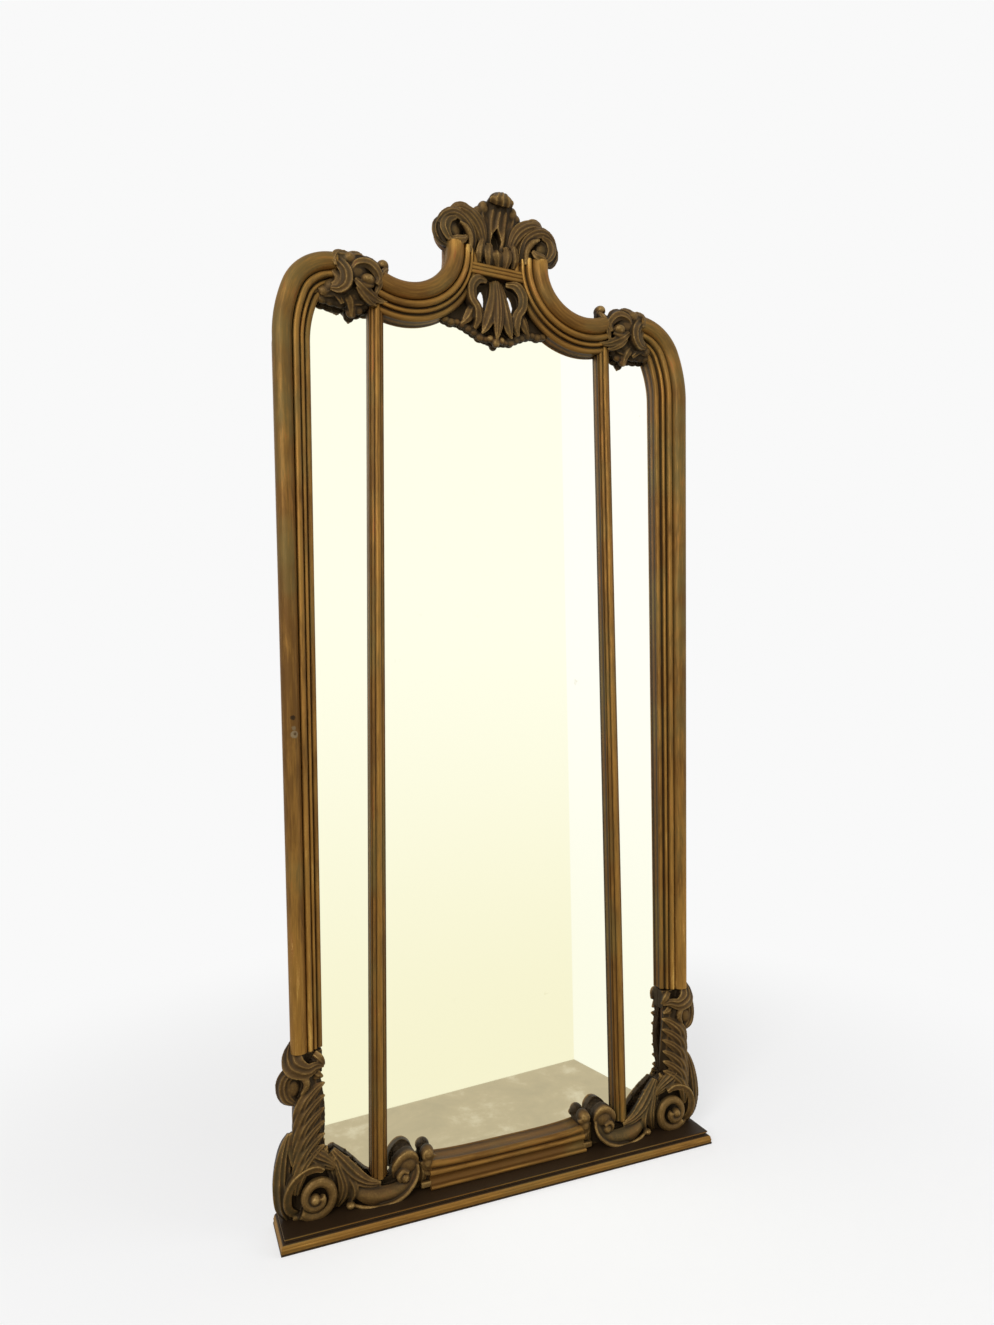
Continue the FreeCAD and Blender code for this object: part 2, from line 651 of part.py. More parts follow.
def top_back_rail():
    """One sawn board: a low middle and, behind each C-scroll, a horn that carries the crest."""
    out_r, in_r = SCROLL_R + MOULDING_W - 15, SCROLL_R + 6
    head, low = SCROLL_TOP + 8, GLASS_HEAD + 1
    hip = math.degrees(math.acos((SCROLL[1] - (low + 27)) / out_r))
    end = 90 + SCROLL_END
    wire = sawn(
        (0, low + 27), (*polar(SCROLL, out_r, -90 - hip),),
        (SCROLL[0] - out_r, SCROLL[1], math.tan(math.radians((90 - hip) / 4))),
        (SCROLL[0] - out_r, head), (SCROLL[0] - in_r, head), (SCROLL[0] - in_r, SCROLL[1]),
        (*polar(SCROLL, in_r, -90 + end), -math.tan(math.radians((90 + end) / 4))),
        (RAIL_LAP[0], 1770), (RAIL_LAP[1], 1776), (RAIL_LAP[1], low), (0, low),
    )
    half = slab(wire, SEAT_Y, FRAME_Y)
    shoulder_lap = box(RAIL_LAP[0], PLINTH_W, SEAT_Y, HALF_Y, GLASS_HEAD, SCROLL_TOP)
    crest_lap = box(0, 130, SEAT_Y, HALF_Y, CROSSBAR_Z - CROSSBAR_H / 2, head + 1)
    muntin_lap = box(MULLION_X - MUNTIN_W / 2, MULLION_X + MUNTIN_W / 2, SEAT_Y, HALF_Y,
                     low - 1, low + MUNTIN_LAP)
    return fused(*both(half.cut([shoulder_lap, crest_lap, muntin_lap])))


def bottom_back_rail():
    low, high = PLINTH_T, GLASS_FOOT - 1
    end = stile_edge(low) - 1
    rail = box(-end, end, SEAT_Y, FRAME_Y, low, high)
    inner = glass_edge(low) - 2
    laps = [box(inner, PLINTH_W, SEAT_Y, HALF_Y, low - 1, high + 1),
            box(MULLION_X - MUNTIN_W / 2, MULLION_X + MUNTIN_W / 2, SEAT_Y, HALF_Y,
                high - MUNTIN_LAP, high + 1)]
    return rail.cut([piece for lap in laps for piece in both(lap)])


def back_muntin():
    """The bar between two plates, halved into the rails above and below."""
    x0, x1 = MULLION_X - MUNTIN_W / 2, MULLION_X + MUNTIN_W / 2
    low, high = GLASS_FOOT - 1, GLASS_HEAD + 1
    foot, head = low - MUNTIN_LAP, high + MUNTIN_LAP
    bar = box(x0, x1, SEAT_Y, FRAME_Y, foot, head)
    return bar.cut([box(0, PLINTH_W, HALF_Y, FRAME_Y, foot - 1, low),
                    box(0, PLINTH_W, HALF_Y, FRAME_Y, high, head + 1)])


def crest_board():
    """The board behind the crest, halved onto the two horns."""
    x, z = KNOB
    low = CROSSBAR_Z - CROSSBAR_H / 2
    wire = sawn(
        (-62, low), (-62, SCROLL_TOP), (-106, SCROLL_TOP + 1), (-x - 27, z + 4, 0.3),
        (-x + 2, z + 33, 0.35), (-38, 1932), (-17, 1956), (17, 1956, 0.5), (38, 1932),
        (x - 2, z + 33), (x + 27, z + 4, 0.35), (106, SCROLL_TOP + 1, 0.3), (62, SCROLL_TOP),
        (62, low),
    )
    return slab(wire, SEAT_Y, HALF_Y)


def backboard(x_in_low, x_in_high, side=True):
    """A thin board over the back: from a muntin out to the stile, or between the muntins."""
    low, high = PLINTH_T + 6, GLASS_HEAD + 13
    if side:
        wire = outline(
            (x_in_low, low), (x_in_high, high), (SHOULDER[0] + 10, high),
            (glass_edge(STILE_TOP) + 14, STILE_TOP + 16, 0.3), (glass_edge(low) + 14, low),
        )
    else:
        wire = outline((x_in_low, low), (x_in_low, high), (x_in_high, high), (x_in_high, low))
    return slab(wire, FRAME_Y, WALL_Y)


def forged_nail(x, y, z, way, length=22.0):
    """A square nail: its head's outer face at the point, its shank along the way."""
    head, shank = 5.0, 2.2
    nail = fused(
        Part.makeBox(head, head, 1.2, V(-head / 2, -head / 2, 0)),
        Part.makeBox(shank, shank, length, V(-shank / 2, -shank / 2, 0)),
    )
    turn = FreeCAD.Rotation(V(0, 0, 1), way)
    nail.Placement = FreeCAD.Placement(V(x, y, z), turn)
    return nail


def peg(x, z, across=7.0):
    """A whittled eight-sided peg through a halved joint."""
    ring = [polar((x, z), across / 2, 45 * i + 22.5) for i in range(8)]
    return faceted([[V(a, y, b) for a, b in ring] for y in (SEAT_Y, FRAME_Y)])


def glazing_blocks():
    """Small blocks glued behind the edges of the glass."""
    length, width = 44.0, 11.0
    y0, y1 = SEAT_Y + GLASS_T, SEAT_Y + GLASS_T + 12
    blocks = []
    for z in (260, 820, 1380):
        slope = (glass_edge(z + length) - glass_edge(z)) / length
        x = glass_edge(z) + 1
        wire = outline((x - width, z), (x - width + slope * length, z + length),
                       (x + slope * length, z + length), (x, z))
        blocks += both(slab(wire, y0, y1))
        inner, outer = MULLION_X - MUNTIN_W / 2, MULLION_X + MUNTIN_W / 2
        blocks += both(box(inner - width, inner, y0, y1, z, z + length))
        blocks += both(box(outer, outer + width, y0, y1, z, z + length))
    return blocks


def hanging_plate():
    x, z = HANGER
    plate = box(x - HANGER_W / 2, x + HANGER_W / 2, FRAME_Y, FRAME_Y + HANGER_T,
                z - HANGER_H / 2, z + HANGER_H / 2)
    return plate.cut(hanger_hole(60))


def hanger_hole(depth, radius=HANGER_HOLE / 2):
    x, z = HANGER
    return Part.makeCylinder(radius, depth, V(x, WALL_Y + 1, z), V(0, -1, 0))


# ---------------------------------------------------------------- assembly
def assemble():
    """Every node's name and solid."""
    pieces = {}

    def pair(name, shape):
        pieces["right_" + name] = shape
        pieces["left_" + name] = other_side(shape)

    arm, shoulder = c_scroll(), shoulder_moulding()
    pair("stile_moulding", stile_moulding())
    pair("shoulder_moulding", shoulder)
    pair("c_scroll", arm)

    bar = crossbar(both(arm))
    knob = crest_volute(arm)
    pair("crest_volute", knob)
    pieces["crest_crossbar"] = bar
    pieces["crest_cartouche"] = crest_cartouche(both(knob))
    pieces["crest_pendant"] = crest_pendant([*both(arm), bar])

    leaf = shoulder_ornament([arm, shoulder])
    pair("shoulder_ornament", leaf)
    rod = mullion([arm, leaf])
    pair("mullion", rod)

    rail = bottom_rail_moulding()
    volute_block = base_volute()
    pieces["bottom_rail_moulding"] = rail
    pair("stem_leaf", stem_leaf())
    pair("base_volute", volute_block)
    pair("base_leaf_scroll", base_leaf_scroll([volute_block, rail, rod]))

    pieces["centre_mirror_plate"] = centre_plate()
    pair("mirror_plate", side_plate())

    nails = backboard_nails()
    hanger_nails = [
        nail for sign in (-1, 1)
        for nail in both(forged_nail(HANGER[0] + sign * 7, FRAME_Y + HANGER_T,
                                     HANGER[1] + sign * 12, V(0, -1, 0), 16))
    ]
    plinth_nails = [forged_nail(x, SEAT_Y + FRAME_T / 2, 0, V(0, 0, 1), 50)
                    for x in (-300, 0, 300)]
    pegs = [p for x, z in ((383, 42), (424, 1584), (285, 1750)) for p in both(peg(x, z))]
    crest_pegs = both(peg(80, 1836))

    pair("back_stile", back_stile().cut(nails + pegs))
    pair("back_shoulder", back_shoulder().cut(nails + pegs + hanger_nails + [hanger_hole(20, 9)]))
    pieces["top_back_rail"] = top_back_rail().cut(nails + pegs + crest_pegs)
    pieces["bottom_back_rail"] = bottom_back_rail().cut(nails + pegs + plinth_nails)
    pair("back_muntin", back_muntin().cut(nails))
    pieces["crest_board"] = crest_board().cut(crest_pegs)

    seam = MULLION_X
    pair("backboard", backboard(seam + 0.2, seam + 0.2).cut(nails))
    pieces["centre_backboard"] = backboard(-seam + 0.2, seam - 0.2, side=False).cut(nails)
    pieces["backboard_nails"] = Part.makeCompound(nails)
    pieces["glazing_blocks"] = Part.makeCompound(glazing_blocks())
    pieces["frame_pegs"] = Part.makeCompound(pegs + crest_pegs)
    pieces["hanging_plates"] = Part.makeCompound(both(hanging_plate().cut(hanger_nails)))
    pieces["hanging_plate_nails"] = Part.makeCompound(hanger_nails)
    pieces["plinth"] = plinth().cut(plinth_nails)
    pieces["plinth_nails"] = Part.makeCompound(plinth_nails)
    return pieces


def backboard_nails():
    nails = []
    for z in (400, 1100):
        for x in (glass_edge(z) + 7, MULLION_X - 4.5, MULLION_X + 4.5):
            nails += both(forged_nail(x, WALL_Y, z, V(0, -1, 0)))
    for x, z in ((150, 1732), (320, 1732), (150, 40), (310, 40)):
        nails += both(forged_nail(x, WALL_Y, z, V(0, -1, 0)))
    return nails


for node, shape in assemble().items():
    shape.exportStep("parts/" + node + ".step")
    print(node, len(shape.Solids), shape.isValid(), round(shape.Volume))
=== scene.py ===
"""Dresses the giltwood overmantel mirror: run mouldings, carved ornament, old gilding and glass.

Lengths are written in millimetres, as in a workshop drawing, and MM turns them into metres.
X runs across the width, -Y faces the room, +Z is up. Depths run forward from the seat, the
plane where the mouldings and the ornament are glued to the frame.
"""

import json
import math

import bmesh
import bpy
import numpy as np
from mathutils import Matrix, Vector

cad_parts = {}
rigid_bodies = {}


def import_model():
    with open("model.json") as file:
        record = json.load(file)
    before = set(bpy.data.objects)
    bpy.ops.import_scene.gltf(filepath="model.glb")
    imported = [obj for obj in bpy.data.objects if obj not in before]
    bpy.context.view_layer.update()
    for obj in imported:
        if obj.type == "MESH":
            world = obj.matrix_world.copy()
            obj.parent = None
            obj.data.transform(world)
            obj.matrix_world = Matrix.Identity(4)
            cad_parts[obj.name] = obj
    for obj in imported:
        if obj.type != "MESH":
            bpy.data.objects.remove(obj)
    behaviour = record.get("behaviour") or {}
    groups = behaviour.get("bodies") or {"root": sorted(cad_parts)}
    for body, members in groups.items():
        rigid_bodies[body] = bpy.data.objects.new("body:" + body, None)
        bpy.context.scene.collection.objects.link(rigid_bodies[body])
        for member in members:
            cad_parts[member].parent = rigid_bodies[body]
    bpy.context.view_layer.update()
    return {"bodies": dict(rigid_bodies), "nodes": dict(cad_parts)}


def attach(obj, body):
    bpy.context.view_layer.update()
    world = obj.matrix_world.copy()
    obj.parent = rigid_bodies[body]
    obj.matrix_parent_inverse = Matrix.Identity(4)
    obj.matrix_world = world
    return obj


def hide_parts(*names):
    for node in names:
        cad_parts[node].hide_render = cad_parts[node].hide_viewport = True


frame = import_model()

MM = 0.001
SEAT_Y = 20.0                    # front of the frame and of the glass
PLINTH_T, PLINTH_HALF, PLINTH_D = 25.0, 440.0, 100.0

# ---- camera
CAMERA_AT = (-646.9, -1503.7, 901.8)
CAMERA_AZIMUTH, CAMERA_PITCH, CAMERA_ROLL = (math.radians(a) for a in (22.889, 3.735, 0.784))
PHOTO_H, FOCAL_PX = 1325, 811.4  # both in pixels of the photograph, upright
SENSOR, CLIP = 36.0, (0.05, 60.0)


def add_camera():
    ahead = Vector((math.sin(CAMERA_AZIMUTH) * math.cos(CAMERA_PITCH),
                    math.cos(CAMERA_AZIMUTH) * math.cos(CAMERA_PITCH), math.sin(CAMERA_PITCH)))
    level = ahead.cross(Vector((0, 0, 1))).normalized()
    down = ahead.cross(level)
    right = level * math.cos(CAMERA_ROLL) + down * math.sin(CAMERA_ROLL)
    up = level * math.sin(CAMERA_ROLL) - down * math.cos(CAMERA_ROLL)
    bpy.ops.object.camera_add()
    camera = bpy.context.object
    camera.name = "photo_camera"
    place = Matrix((right, up, -ahead)).transposed().to_4x4()
    place.translation = Vector(CAMERA_AT) * MM
    camera.matrix_world = place
    camera.data.sensor_width = SENSOR
    camera.data.lens = SENSOR * FOCAL_PX / PHOTO_H
    camera.data.clip_start, camera.data.clip_end = CLIP
    bpy.context.scene.camera = camera


# ---- nodes
class Nodes:
    """Short hand for wiring one material or world."""

    def __init__(self, tree):
        self.tree = tree

    def add(self, kind, inputs=None, **settings):
        node = self.tree.nodes.new("ShaderNode" + kind)
        for key, value in settings.items():
            setattr(node, key, value)
        for key, value in (inputs or {}).items():
            self.put(node.inputs[key], value)
        return node

    def put(self, socket, value):
        if isinstance(value, bpy.types.NodeSocket):
            self.tree.links.new(value, socket)
        else:
            socket.default_value = value

    def noise(self, where, scale, detail=4.0, rough=0.55, warp=0.0):
        node = self.add("TexNoise", {"Vector": where, "Scale": scale, "Detail": detail,
                                     "Roughness": rough, "Distortion": warp})
        return node.outputs["Fac"]

    def stretch(self, where, scale):
        return self.add("Mapping", {"Vector": where, "Scale": scale}).outputs["Vector"]

    def band(self, value, low, high, to_low=0.0, to_high=1.0):
        """Turns a range of values smoothly into another range, and holds it beyond the ends."""
        node = self.add("MapRange", {"Value": value, "From Min": low, "From Max": high,
                                     "To Min": to_low, "To Max": to_high},
                        interpolation_type="SMOOTHSTEP")
        return node.outputs["Result"]

    def math(self, how, a, b=0.0):
        return self.add("Math", {0: a, 1: b}, operation=how).outputs[0]

    def plus(self, a, b):
        return self.math("ADD", a, b)

    def times(self, a, b):
        return self.math("MULTIPLY", a, b)

    def mix(self, share, a, b):
        node = self.add("Mix", data_type="RGBA")
        self.put(node.inputs[0], share)
        self.put(node.inputs[6], a)
        self.put(node.inputs[7], b)
        return node.outputs[2]

    def blend(self, share, a, b):
        node = self.add("Mix", data_type="FLOAT")
        self.put(node.inputs[0], share)
        self.put(node.inputs[2], a)
        self.put(node.inputs[3], b)
        return node.outputs[0]

    def bump(self, height, distance, strength=1.0, under=None):
        node = self.add("Bump", {"Height": height, "Distance": distance, "Strength": strength})
        if under is not None:
            self.put(node.inputs["Normal"], under)
        return node.outputs["Normal"]

    def shade(self, **sockets):
        """Sets or wires sockets of the shader. An underscore stands for a space in a name."""
        shader = self.tree.nodes["Principled BSDF"]
        for name, value in sockets.items():
            self.put(shader.inputs[name.replace("_", " ")], value)


def new_material(name):
    """A material, the short hand for its nodes, and the place on the piece in metres."""
    material = bpy.data.materials.new(name)
    material.use_nodes = True
    nodes = Nodes(material.node_tree)
    return material, nodes, nodes.add("TexCoord").outputs["Object"]


# ---- room, floor and light
WHITE, BLACK = (0.947, 0.947, 0.947, 1), (0, 0, 0, 1)
WORLD_LIGHT = 0.5                # the studio's own light on the object
ROOM_FLOOR_Z = -748.0            # where the reflected floor seems to lie from the camera
ROOM_CORNER, ROOM_LEFT, ROOM_RIGHT = (1228.0, -2015.0), (-3000.0, -1532.0), (1830.0, 930.0)
ROOM_H = 6000.0
# heights in metres between which a wall's foot colour, painted shade darker and warmer than the
# wall, gives way to its own
WALL_FOOT, WALL_HEAD = -0.9, 1.6
# the dark and the light of the reflected floor's mottle, and its colour
MOTTLE_DARK, MOTTLE_LIGHT = (0.36, 0.33, 0.22, 1), (1.0, 0.96, 0.72, 1)
STONE = (0.56, 0.48, 0.30)
# the studio floor's size and where it fades into the backdrop, in metres
FLOOR_SIZE, FLOOR_NEAR, FLOOR_FAR = 60.0, 0.6, 1.8
FLOOR_GREY = (0.45, 0.45, 0.45, 1)
FLOOR_LIFT = 0.57                # added to what the camera sees of the lit floor
LAMP_SIZE, LAMPS_AIM = (1.6, 2.2), (0, 0, 1.0)


def add_world():
    """White where the camera, a reflection or a view through glass meets it, dimmer as light."""
    world = bpy.data.worlds.new("studio")
    world.use_nodes = True
    bpy.context.scene.world = world
    nodes = Nodes(world.node_tree)
    path = nodes.add("LightPath").outputs
    seen = nodes.math("MAXIMUM", path["Is Camera Ray"], path["Is Glossy Ray"])
    seen = nodes.math("MAXIMUM", seen, path["Is Transmission Ray"])
    back = world.node_tree.nodes["Background"].inputs
    nodes.put(back["Color"], WHITE)
    nodes.put(back["Strength"], nodes.blend(seen, WORLD_LIGHT, 1.0))


def add_lamp(name, place, power):
    bpy.ops.object.light_add(type="AREA", location=place)
    lamp = bpy.context.object
    lamp.name = name
    lamp.data.shape = "RECTANGLE"
    lamp.data.size, lamp.data.size_y = LAMP_SIZE
    lamp.data.energy = power
    lamp.rotation_mode = "QUATERNION"
    lamp.rotation_quaternion = (Vector(LAMPS_AIM) - Vector(place)).to_track_quat("-Z", "Y")


def add_floor():
    """A pale floor that keeps the object's shadow and runs out into the white backdrop."""
    bpy.ops.mesh.primitive_plane_add(size=FLOOR_SIZE)
    floor = bpy.context.object
    floor.name = "studio_floor"
    material, nodes, place = new_material("pale_floor")
    reach = nodes.add("VectorMath", {0: place}, operation="LENGTH").outputs["Value"]
    far = nodes.band(reach, FLOOR_NEAR, FLOOR_FAR)
    seen = nodes.add("LightPath").outputs["Is Camera Ray"]
    nodes.shade(Base_Color=nodes.mix(far, FLOOR_GREY, BLACK), Roughness=0.9,
                Specular_IOR_Level=0.0, Emission_Color=WHITE,
                Emission_Strength=nodes.times(seen, nodes.blend(far, FLOOR_LIFT, 1.0)))
    floor.data.materials.append(material)
    floor.visible_glossy = False


def room_plane(name, corners, colour, foot, mottle):
    """A plain wall or floor of the room, seen only in the glass, with another colour at its foot,
    which on the walls is painted shade, and a mottle of light and dark."""
    bpy.ops.mesh.primitive_plane_add(size=1)
    wall = bpy.context.object
    wall.name = name
    for vertex, corner in zip(wall.data.vertices, corners):
        vertex.co = Vector(corner) * MM
    material, nodes, place = new_material(name)
    tree = nodes.tree
    tree.nodes.remove(tree.nodes["Principled BSDF"])
    height = nodes.add("SeparateXYZ", {"Vector": place}).outputs["Z"]
    # painted shade: a wall grows darker and warmer towards its foot
    paint = nodes.mix(nodes.band(height, WALL_FOOT, WALL_HEAD), foot + (1,), colour + (1,))
    cloud = nodes.noise(place, 4.0, 8.0, 0.7, 0.3)
    paint = nodes.mix(nodes.band(cloud, 0.3, 0.62, mottle, 0.0), paint, MOTTLE_DARK)
    paint = nodes.mix(nodes.band(cloud, 0.52, 0.7, 0.0, mottle), paint, MOTTLE_LIGHT)
    glow = nodes.add("Emission", {"Color": paint, "Strength": 1.0})
    tree.links.new(glow.outputs[0], tree.nodes["Material Output"].inputs["Surface"])
    wall.data.materials.append(material)
    wall.visible_camera = wall.visible_diffuse = wall.visible_shadow = False
    wall.visible_transmission = wall.visible_volume_scatter = False


def add_room():
    """The plain room corner that the glass reflects."""
    z0, z1 = ROOM_FLOOR_Z, ROOM_FLOOR_Z + ROOM_H

    def upright(a, b):
        return [(*a, z0), (*b, z0), (*a, z1), (*b, z1)]

    # the second colour of each wall is the painted shade at its foot
    room_plane("room_wall", upright(ROOM_LEFT, ROOM_CORNER), (1.04, 1.04, 0.87),
               (0.95, 0.92, 0.65), 0.0)
    room_plane("room_side_wall", upright(ROOM_CORNER, ROOM_RIGHT), (1.05, 1.05, 0.98),
               (1.0, 1.0, 0.82), 0.0)
    room_plane("room_floor", [(-3500, -2600, z0), (2500, -2600, z0), (-3500, 0, z0),
                              (2500, 0, z0)], STONE, STONE, 0.35)


# ---- finishes
# chips in the left stile's gilding, as place and reach in metres and what shows there
LOSSES = (((-0.419, -0.018, 0.903), 0.005, (0.020, 0.010, 0.005, 1)),
          ((-0.417, -0.019, 0.884), 0.004, (0.170, 0.120, 0.065, 1)),
          ((-0.416, -0.018, 0.873), 0.007, (0.210, 0.155, 0.090, 1)),
          ((-0.415, -0.019, 0.874), 0.003, (0.080, 0.048, 0.022, 1)))
PINE_LIGHT, PINE_DARK = (0.36, 0.22, 0.115, 1), (0.21, 0.115, 0.055, 1)
PINE_STAIN = (0.0945, 0.05175, 0.02475, 1)
# where run mouldings are rubbed more, in metres: out at the stiles, from the first height down
# to the second but not at the plinth, and at the tops of the C-scrolls
RUB_OUT, RUB_FEET, RUB_PLINTH, RUB_TOPS = (0.37, 0.39), (0.9, 0.3), (0.1, 0.2), (1.82, 1.86)


def gilding(name, along_sweep, tones, hollow, metal):
    """Old water gilding: leaf rubbed bright on the high parts, red bole under it, and dark
    varnish and dust in the hollows, with painted shade in the carving's undercuts, recesses
    and low ground. hollow sets how far up the dirt and painted shade lie, metal gives the
    metallic look of dull and of worn places."""
    material, nodes, place = new_material(name)
    relief = nodes.add("Attribute", attribute_name="relief").outputs["Fac"]
    streak_at = patch_at = place
    if along_sweep:
        sweep = nodes.add("UVMap", uv_map="sweep").outputs["UV"]
        streak_at = nodes.stretch(sweep, (1.0, 0.05, 1.0))
        patch_at = nodes.stretch(sweep, (1.0, 0.22, 1.0))

    cloud = nodes.noise(place, 6.0, 3.0)
    patch = nodes.noise(patch_at, 30.0, 7.0, 0.68, 0.5)
    streak = nodes.noise(streak_at, 300.0, 4.0, 0.6)
    grain = nodes.noise(place, 800.0, 3.0, 0.6)
    umber, brown, olive, leaf, bright, bole = (tone + (1,) for tone in tones)

    if along_sweep:
        part = nodes.add("SeparateXYZ", {"Vector": place}).outputs
        out = nodes.band(nodes.math("ABSOLUTE", part["X"]), *RUB_OUT)
        feet = nodes.times(out, nodes.band(part["Z"], *RUB_FEET))
        feet = nodes.times(feet, nodes.band(part["Z"], *RUB_PLINTH))
        rubbed = nodes.math("MAXIMUM", feet, nodes.band(part["Z"], *RUB_TOPS))
        relief = nodes.plus(relief, nodes.times(rubbed, 0.45))
    worn = nodes.plus(nodes.times(relief, 0.42),
                      nodes.plus(nodes.times(patch, 0.8), nodes.times(streak, 0.55)))
    colour = nodes.mix(nodes.band(cloud, 0.44, 0.64), brown, olive)
    colour = nodes.mix(nodes.band(worn, 0.62, 1.02), colour, leaf)
    colour = nodes.mix(nodes.times(nodes.band(patch, 0.54, 0.66, 0.0, 0.75),
                                   nodes.band(streak, 0.48, 0.6)), colour, bole)
    shine = nodes.band(nodes.plus(worn, nodes.times(grain, 0.3)), 1.12, 1.34)
    colour = nodes.mix(shine, colour, bright)
    # umber goes where the relief is low: dirt in the hollows, and on the carving painted shade in
    # undercuts, recesses and low ground
    clean_and_unshaded = nodes.band(nodes.plus(relief, nodes.times(patch, 0.3)), hollow - 0.75, hollow + 0.15)
    colour = nodes.mix(clean_and_unshaded, umber, colour)
    for spot, size, tone in LOSSES if along_sweep else ():
        away = nodes.add("VectorMath", {0: place, 1: spot}, operation="DISTANCE")
        ragged = nodes.plus(away.outputs["Value"], nodes.times(grain, 0.006))
        colour = nodes.mix(nodes.band(ragged, size + 0.004, size + 0.002), colour, tone)
    dull = nodes.math("SUBTRACT", grain, nodes.times(worn, 0.6))
    coarse = nodes.bump(patch, 0.0012, 0.6)
    nodes.shade(Base_Color=colour, Metallic=nodes.times(clean_and_unshaded, nodes.band(worn, 0.5, 1.1, *metal)),
                Roughness=nodes.band(dull, -0.4, 0.4, 0.33, 0.6), Specular_IOR_Level=0.3,
                Specular_Tint=(1.0, 0.74, 0.45, 1),
                Normal=nodes.bump(nodes.plus(streak, grain), 0.0003, 0.7, coarse))
    return material


def mirror_silver():
    """Silvered glass with a few faint, foxed spots."""
    material, nodes, place = new_material("old_mirror")
    spots = nodes.noise(place, 26.0, 6.0, 0.7)
    tint = nodes.mix(nodes.band(spots, 0.68, 0.78), (0.975, 0.975, 0.955, 1),
                     (0.86, 0.84, 0.76, 1))
    nodes.shade(Metallic=1.0, Base_Color=tint,
                Roughness=nodes.band(spots, 0.66, 0.8, 0.015, 0.09))
    return material


def old_wood(name, along):
    """Bare softwood with growth lines along one axis, browned by age."""
    material, nodes, place = new_material(name)
    scale = [1.0, 1.0, 1.0]
    scale[along] = 0.05
    lines = nodes.noise(nodes.stretch(place, scale), 130.0, 5.0, 0.6, 0.6)
    fine = nodes.noise(nodes.stretch(place, scale), 700.0, 3.0)
    stain = nodes.noise(place, 5.0, 4.0)
    colour = nodes.mix(nodes.band(lines, 0.35, 0.65), PINE_DARK, PINE_LIGHT)
    colour = nodes.mix(nodes.band(stain, 0.45, 0.75, 0.0, 0.6), colour, PINE_STAIN)
    nodes.shade(Base_Color=colour, Roughness=nodes.band(fine, 0.3, 0.7, 0.62, 0.85),
                Normal=nodes.bump(nodes.plus(lines, nodes.times(fine, 0.5)), 0.0006))
    return material


def forged_iron():
    material, nodes, place = new_material("forged_iron")
    rust = nodes.noise(place, 160.0, 5.0, 0.65)
    colour = nodes.mix(nodes.band(rust, 0.45, 0.62), (0.045, 0.043, 0.042, 1),
                       (0.16, 0.065, 0.03, 1))
    nodes.shade(Base_Color=colour, Metallic=nodes.band(rust, 0.45, 0.6, 0.85, 0.1),
                Roughness=nodes.band(rust, 0.3, 0.7, 0.42, 0.8), Normal=nodes.bump(rust, 0.0005))
    return material


add_camera()
add_world()
add_floor()
add_room()
bpy.context.scene.view_settings.view_transform = "Standard"
add_lamp("window_light", (-2.6, -2.6, 2.6), 95)
add_lamp("fill_light", (2.6, -1.8, 1.2), 28)

# the tones of each gilding: umber (dirt, and painted shade on the carving), brown, olive, then
# leaf, bright leaf, bole
RUN_TONES = ((0.018, 0.009, 0.004), (0.120, 0.054, 0.012), (0.135, 0.088, 0.026),
             (0.290, 0.148, 0.034), (0.640, 0.400, 0.118), (0.200, 0.060, 0.020))
CARVED_TONES = ((0.014, 0.008, 0.004), (0.074, 0.039, 0.013), (0.062, 0.042, 0.016),
                (0.150, 0.085, 0.027), (0.280, 0.175, 0.062), (0.105, 0.036, 0.014))
GILT_RUN = gilding("gilt_mouldings", True, RUN_TONES, 0.0, (0.25, 0.65))
GILT_CARVED = gilding("gilt_carving", False, CARVED_TONES, 0.12, (0.1, 0.4))
SILVER = mirror_silver()
PINE_UP = old_wood("back_pine_upright", 2)
PINE_ACROSS = old_wood("back_pine_across", 0)
IRON = forged_iron()


# ---- modelling helpers
ARRIS = math.radians(38)


def deselect():
    if bpy.context.object and bpy.context.object.mode != "OBJECT":
        bpy.ops.object.mode_set(mode="OBJECT")
    bpy.ops.object.select_all(action="DESELECT")


def choose(*objects):
    deselect()
    for one in objects:
        one.select_set(True)
    bpy.context.view_layer.objects.active = objects[0]


def at(x, depth, z):
    """A point in metres, a depth forward of the seat."""
    return Vector((x, SEAT_Y - depth, z)) * MM


def ring(points):
    """A closed ring of vertices at the points, left selected in edit mode."""
    deselect()
    bpy.ops.mesh.primitive_circle_add(vertices=len(points))
    obj = bpy.context.object
    for vertex, point in zip(obj.data.vertices, points):
        vertex.co = point
    bpy.ops.object.mode_set(mode="EDIT")
    bpy.ops.mesh.select_all(action="SELECT")
    return obj


def draw_out(move):
    """Extrudes what is selected, by a move in metres."""
    bpy.ops.mesh.extrude_region_move(TRANSFORM_OT_translate={"value": move})


def close_ends(obj):
    """Caps the two open ends of a swept ring and turns every face outwards."""
    bpy.ops.mesh.select_all(action="SELECT")
    bpy.ops.mesh.remove_doubles(threshold=1e-6)
    bpy.ops.mesh.select_all(action="SELECT")
    bpy.ops.mesh.fill_holes(sides=0)
    bpy.ops.mesh.select_all(action="SELECT")
    bpy.ops.mesh.normals_make_consistent(inside=False)
    bpy.ops.object.mode_set(mode="OBJECT")


def smooth(obj):
    """Shades a piece smooth, up to the angle at which its arrises stay sharp."""
    choose(obj)
    bpy.ops.object.shade_smooth_by_angle(angle=ARRIS)
    return obj


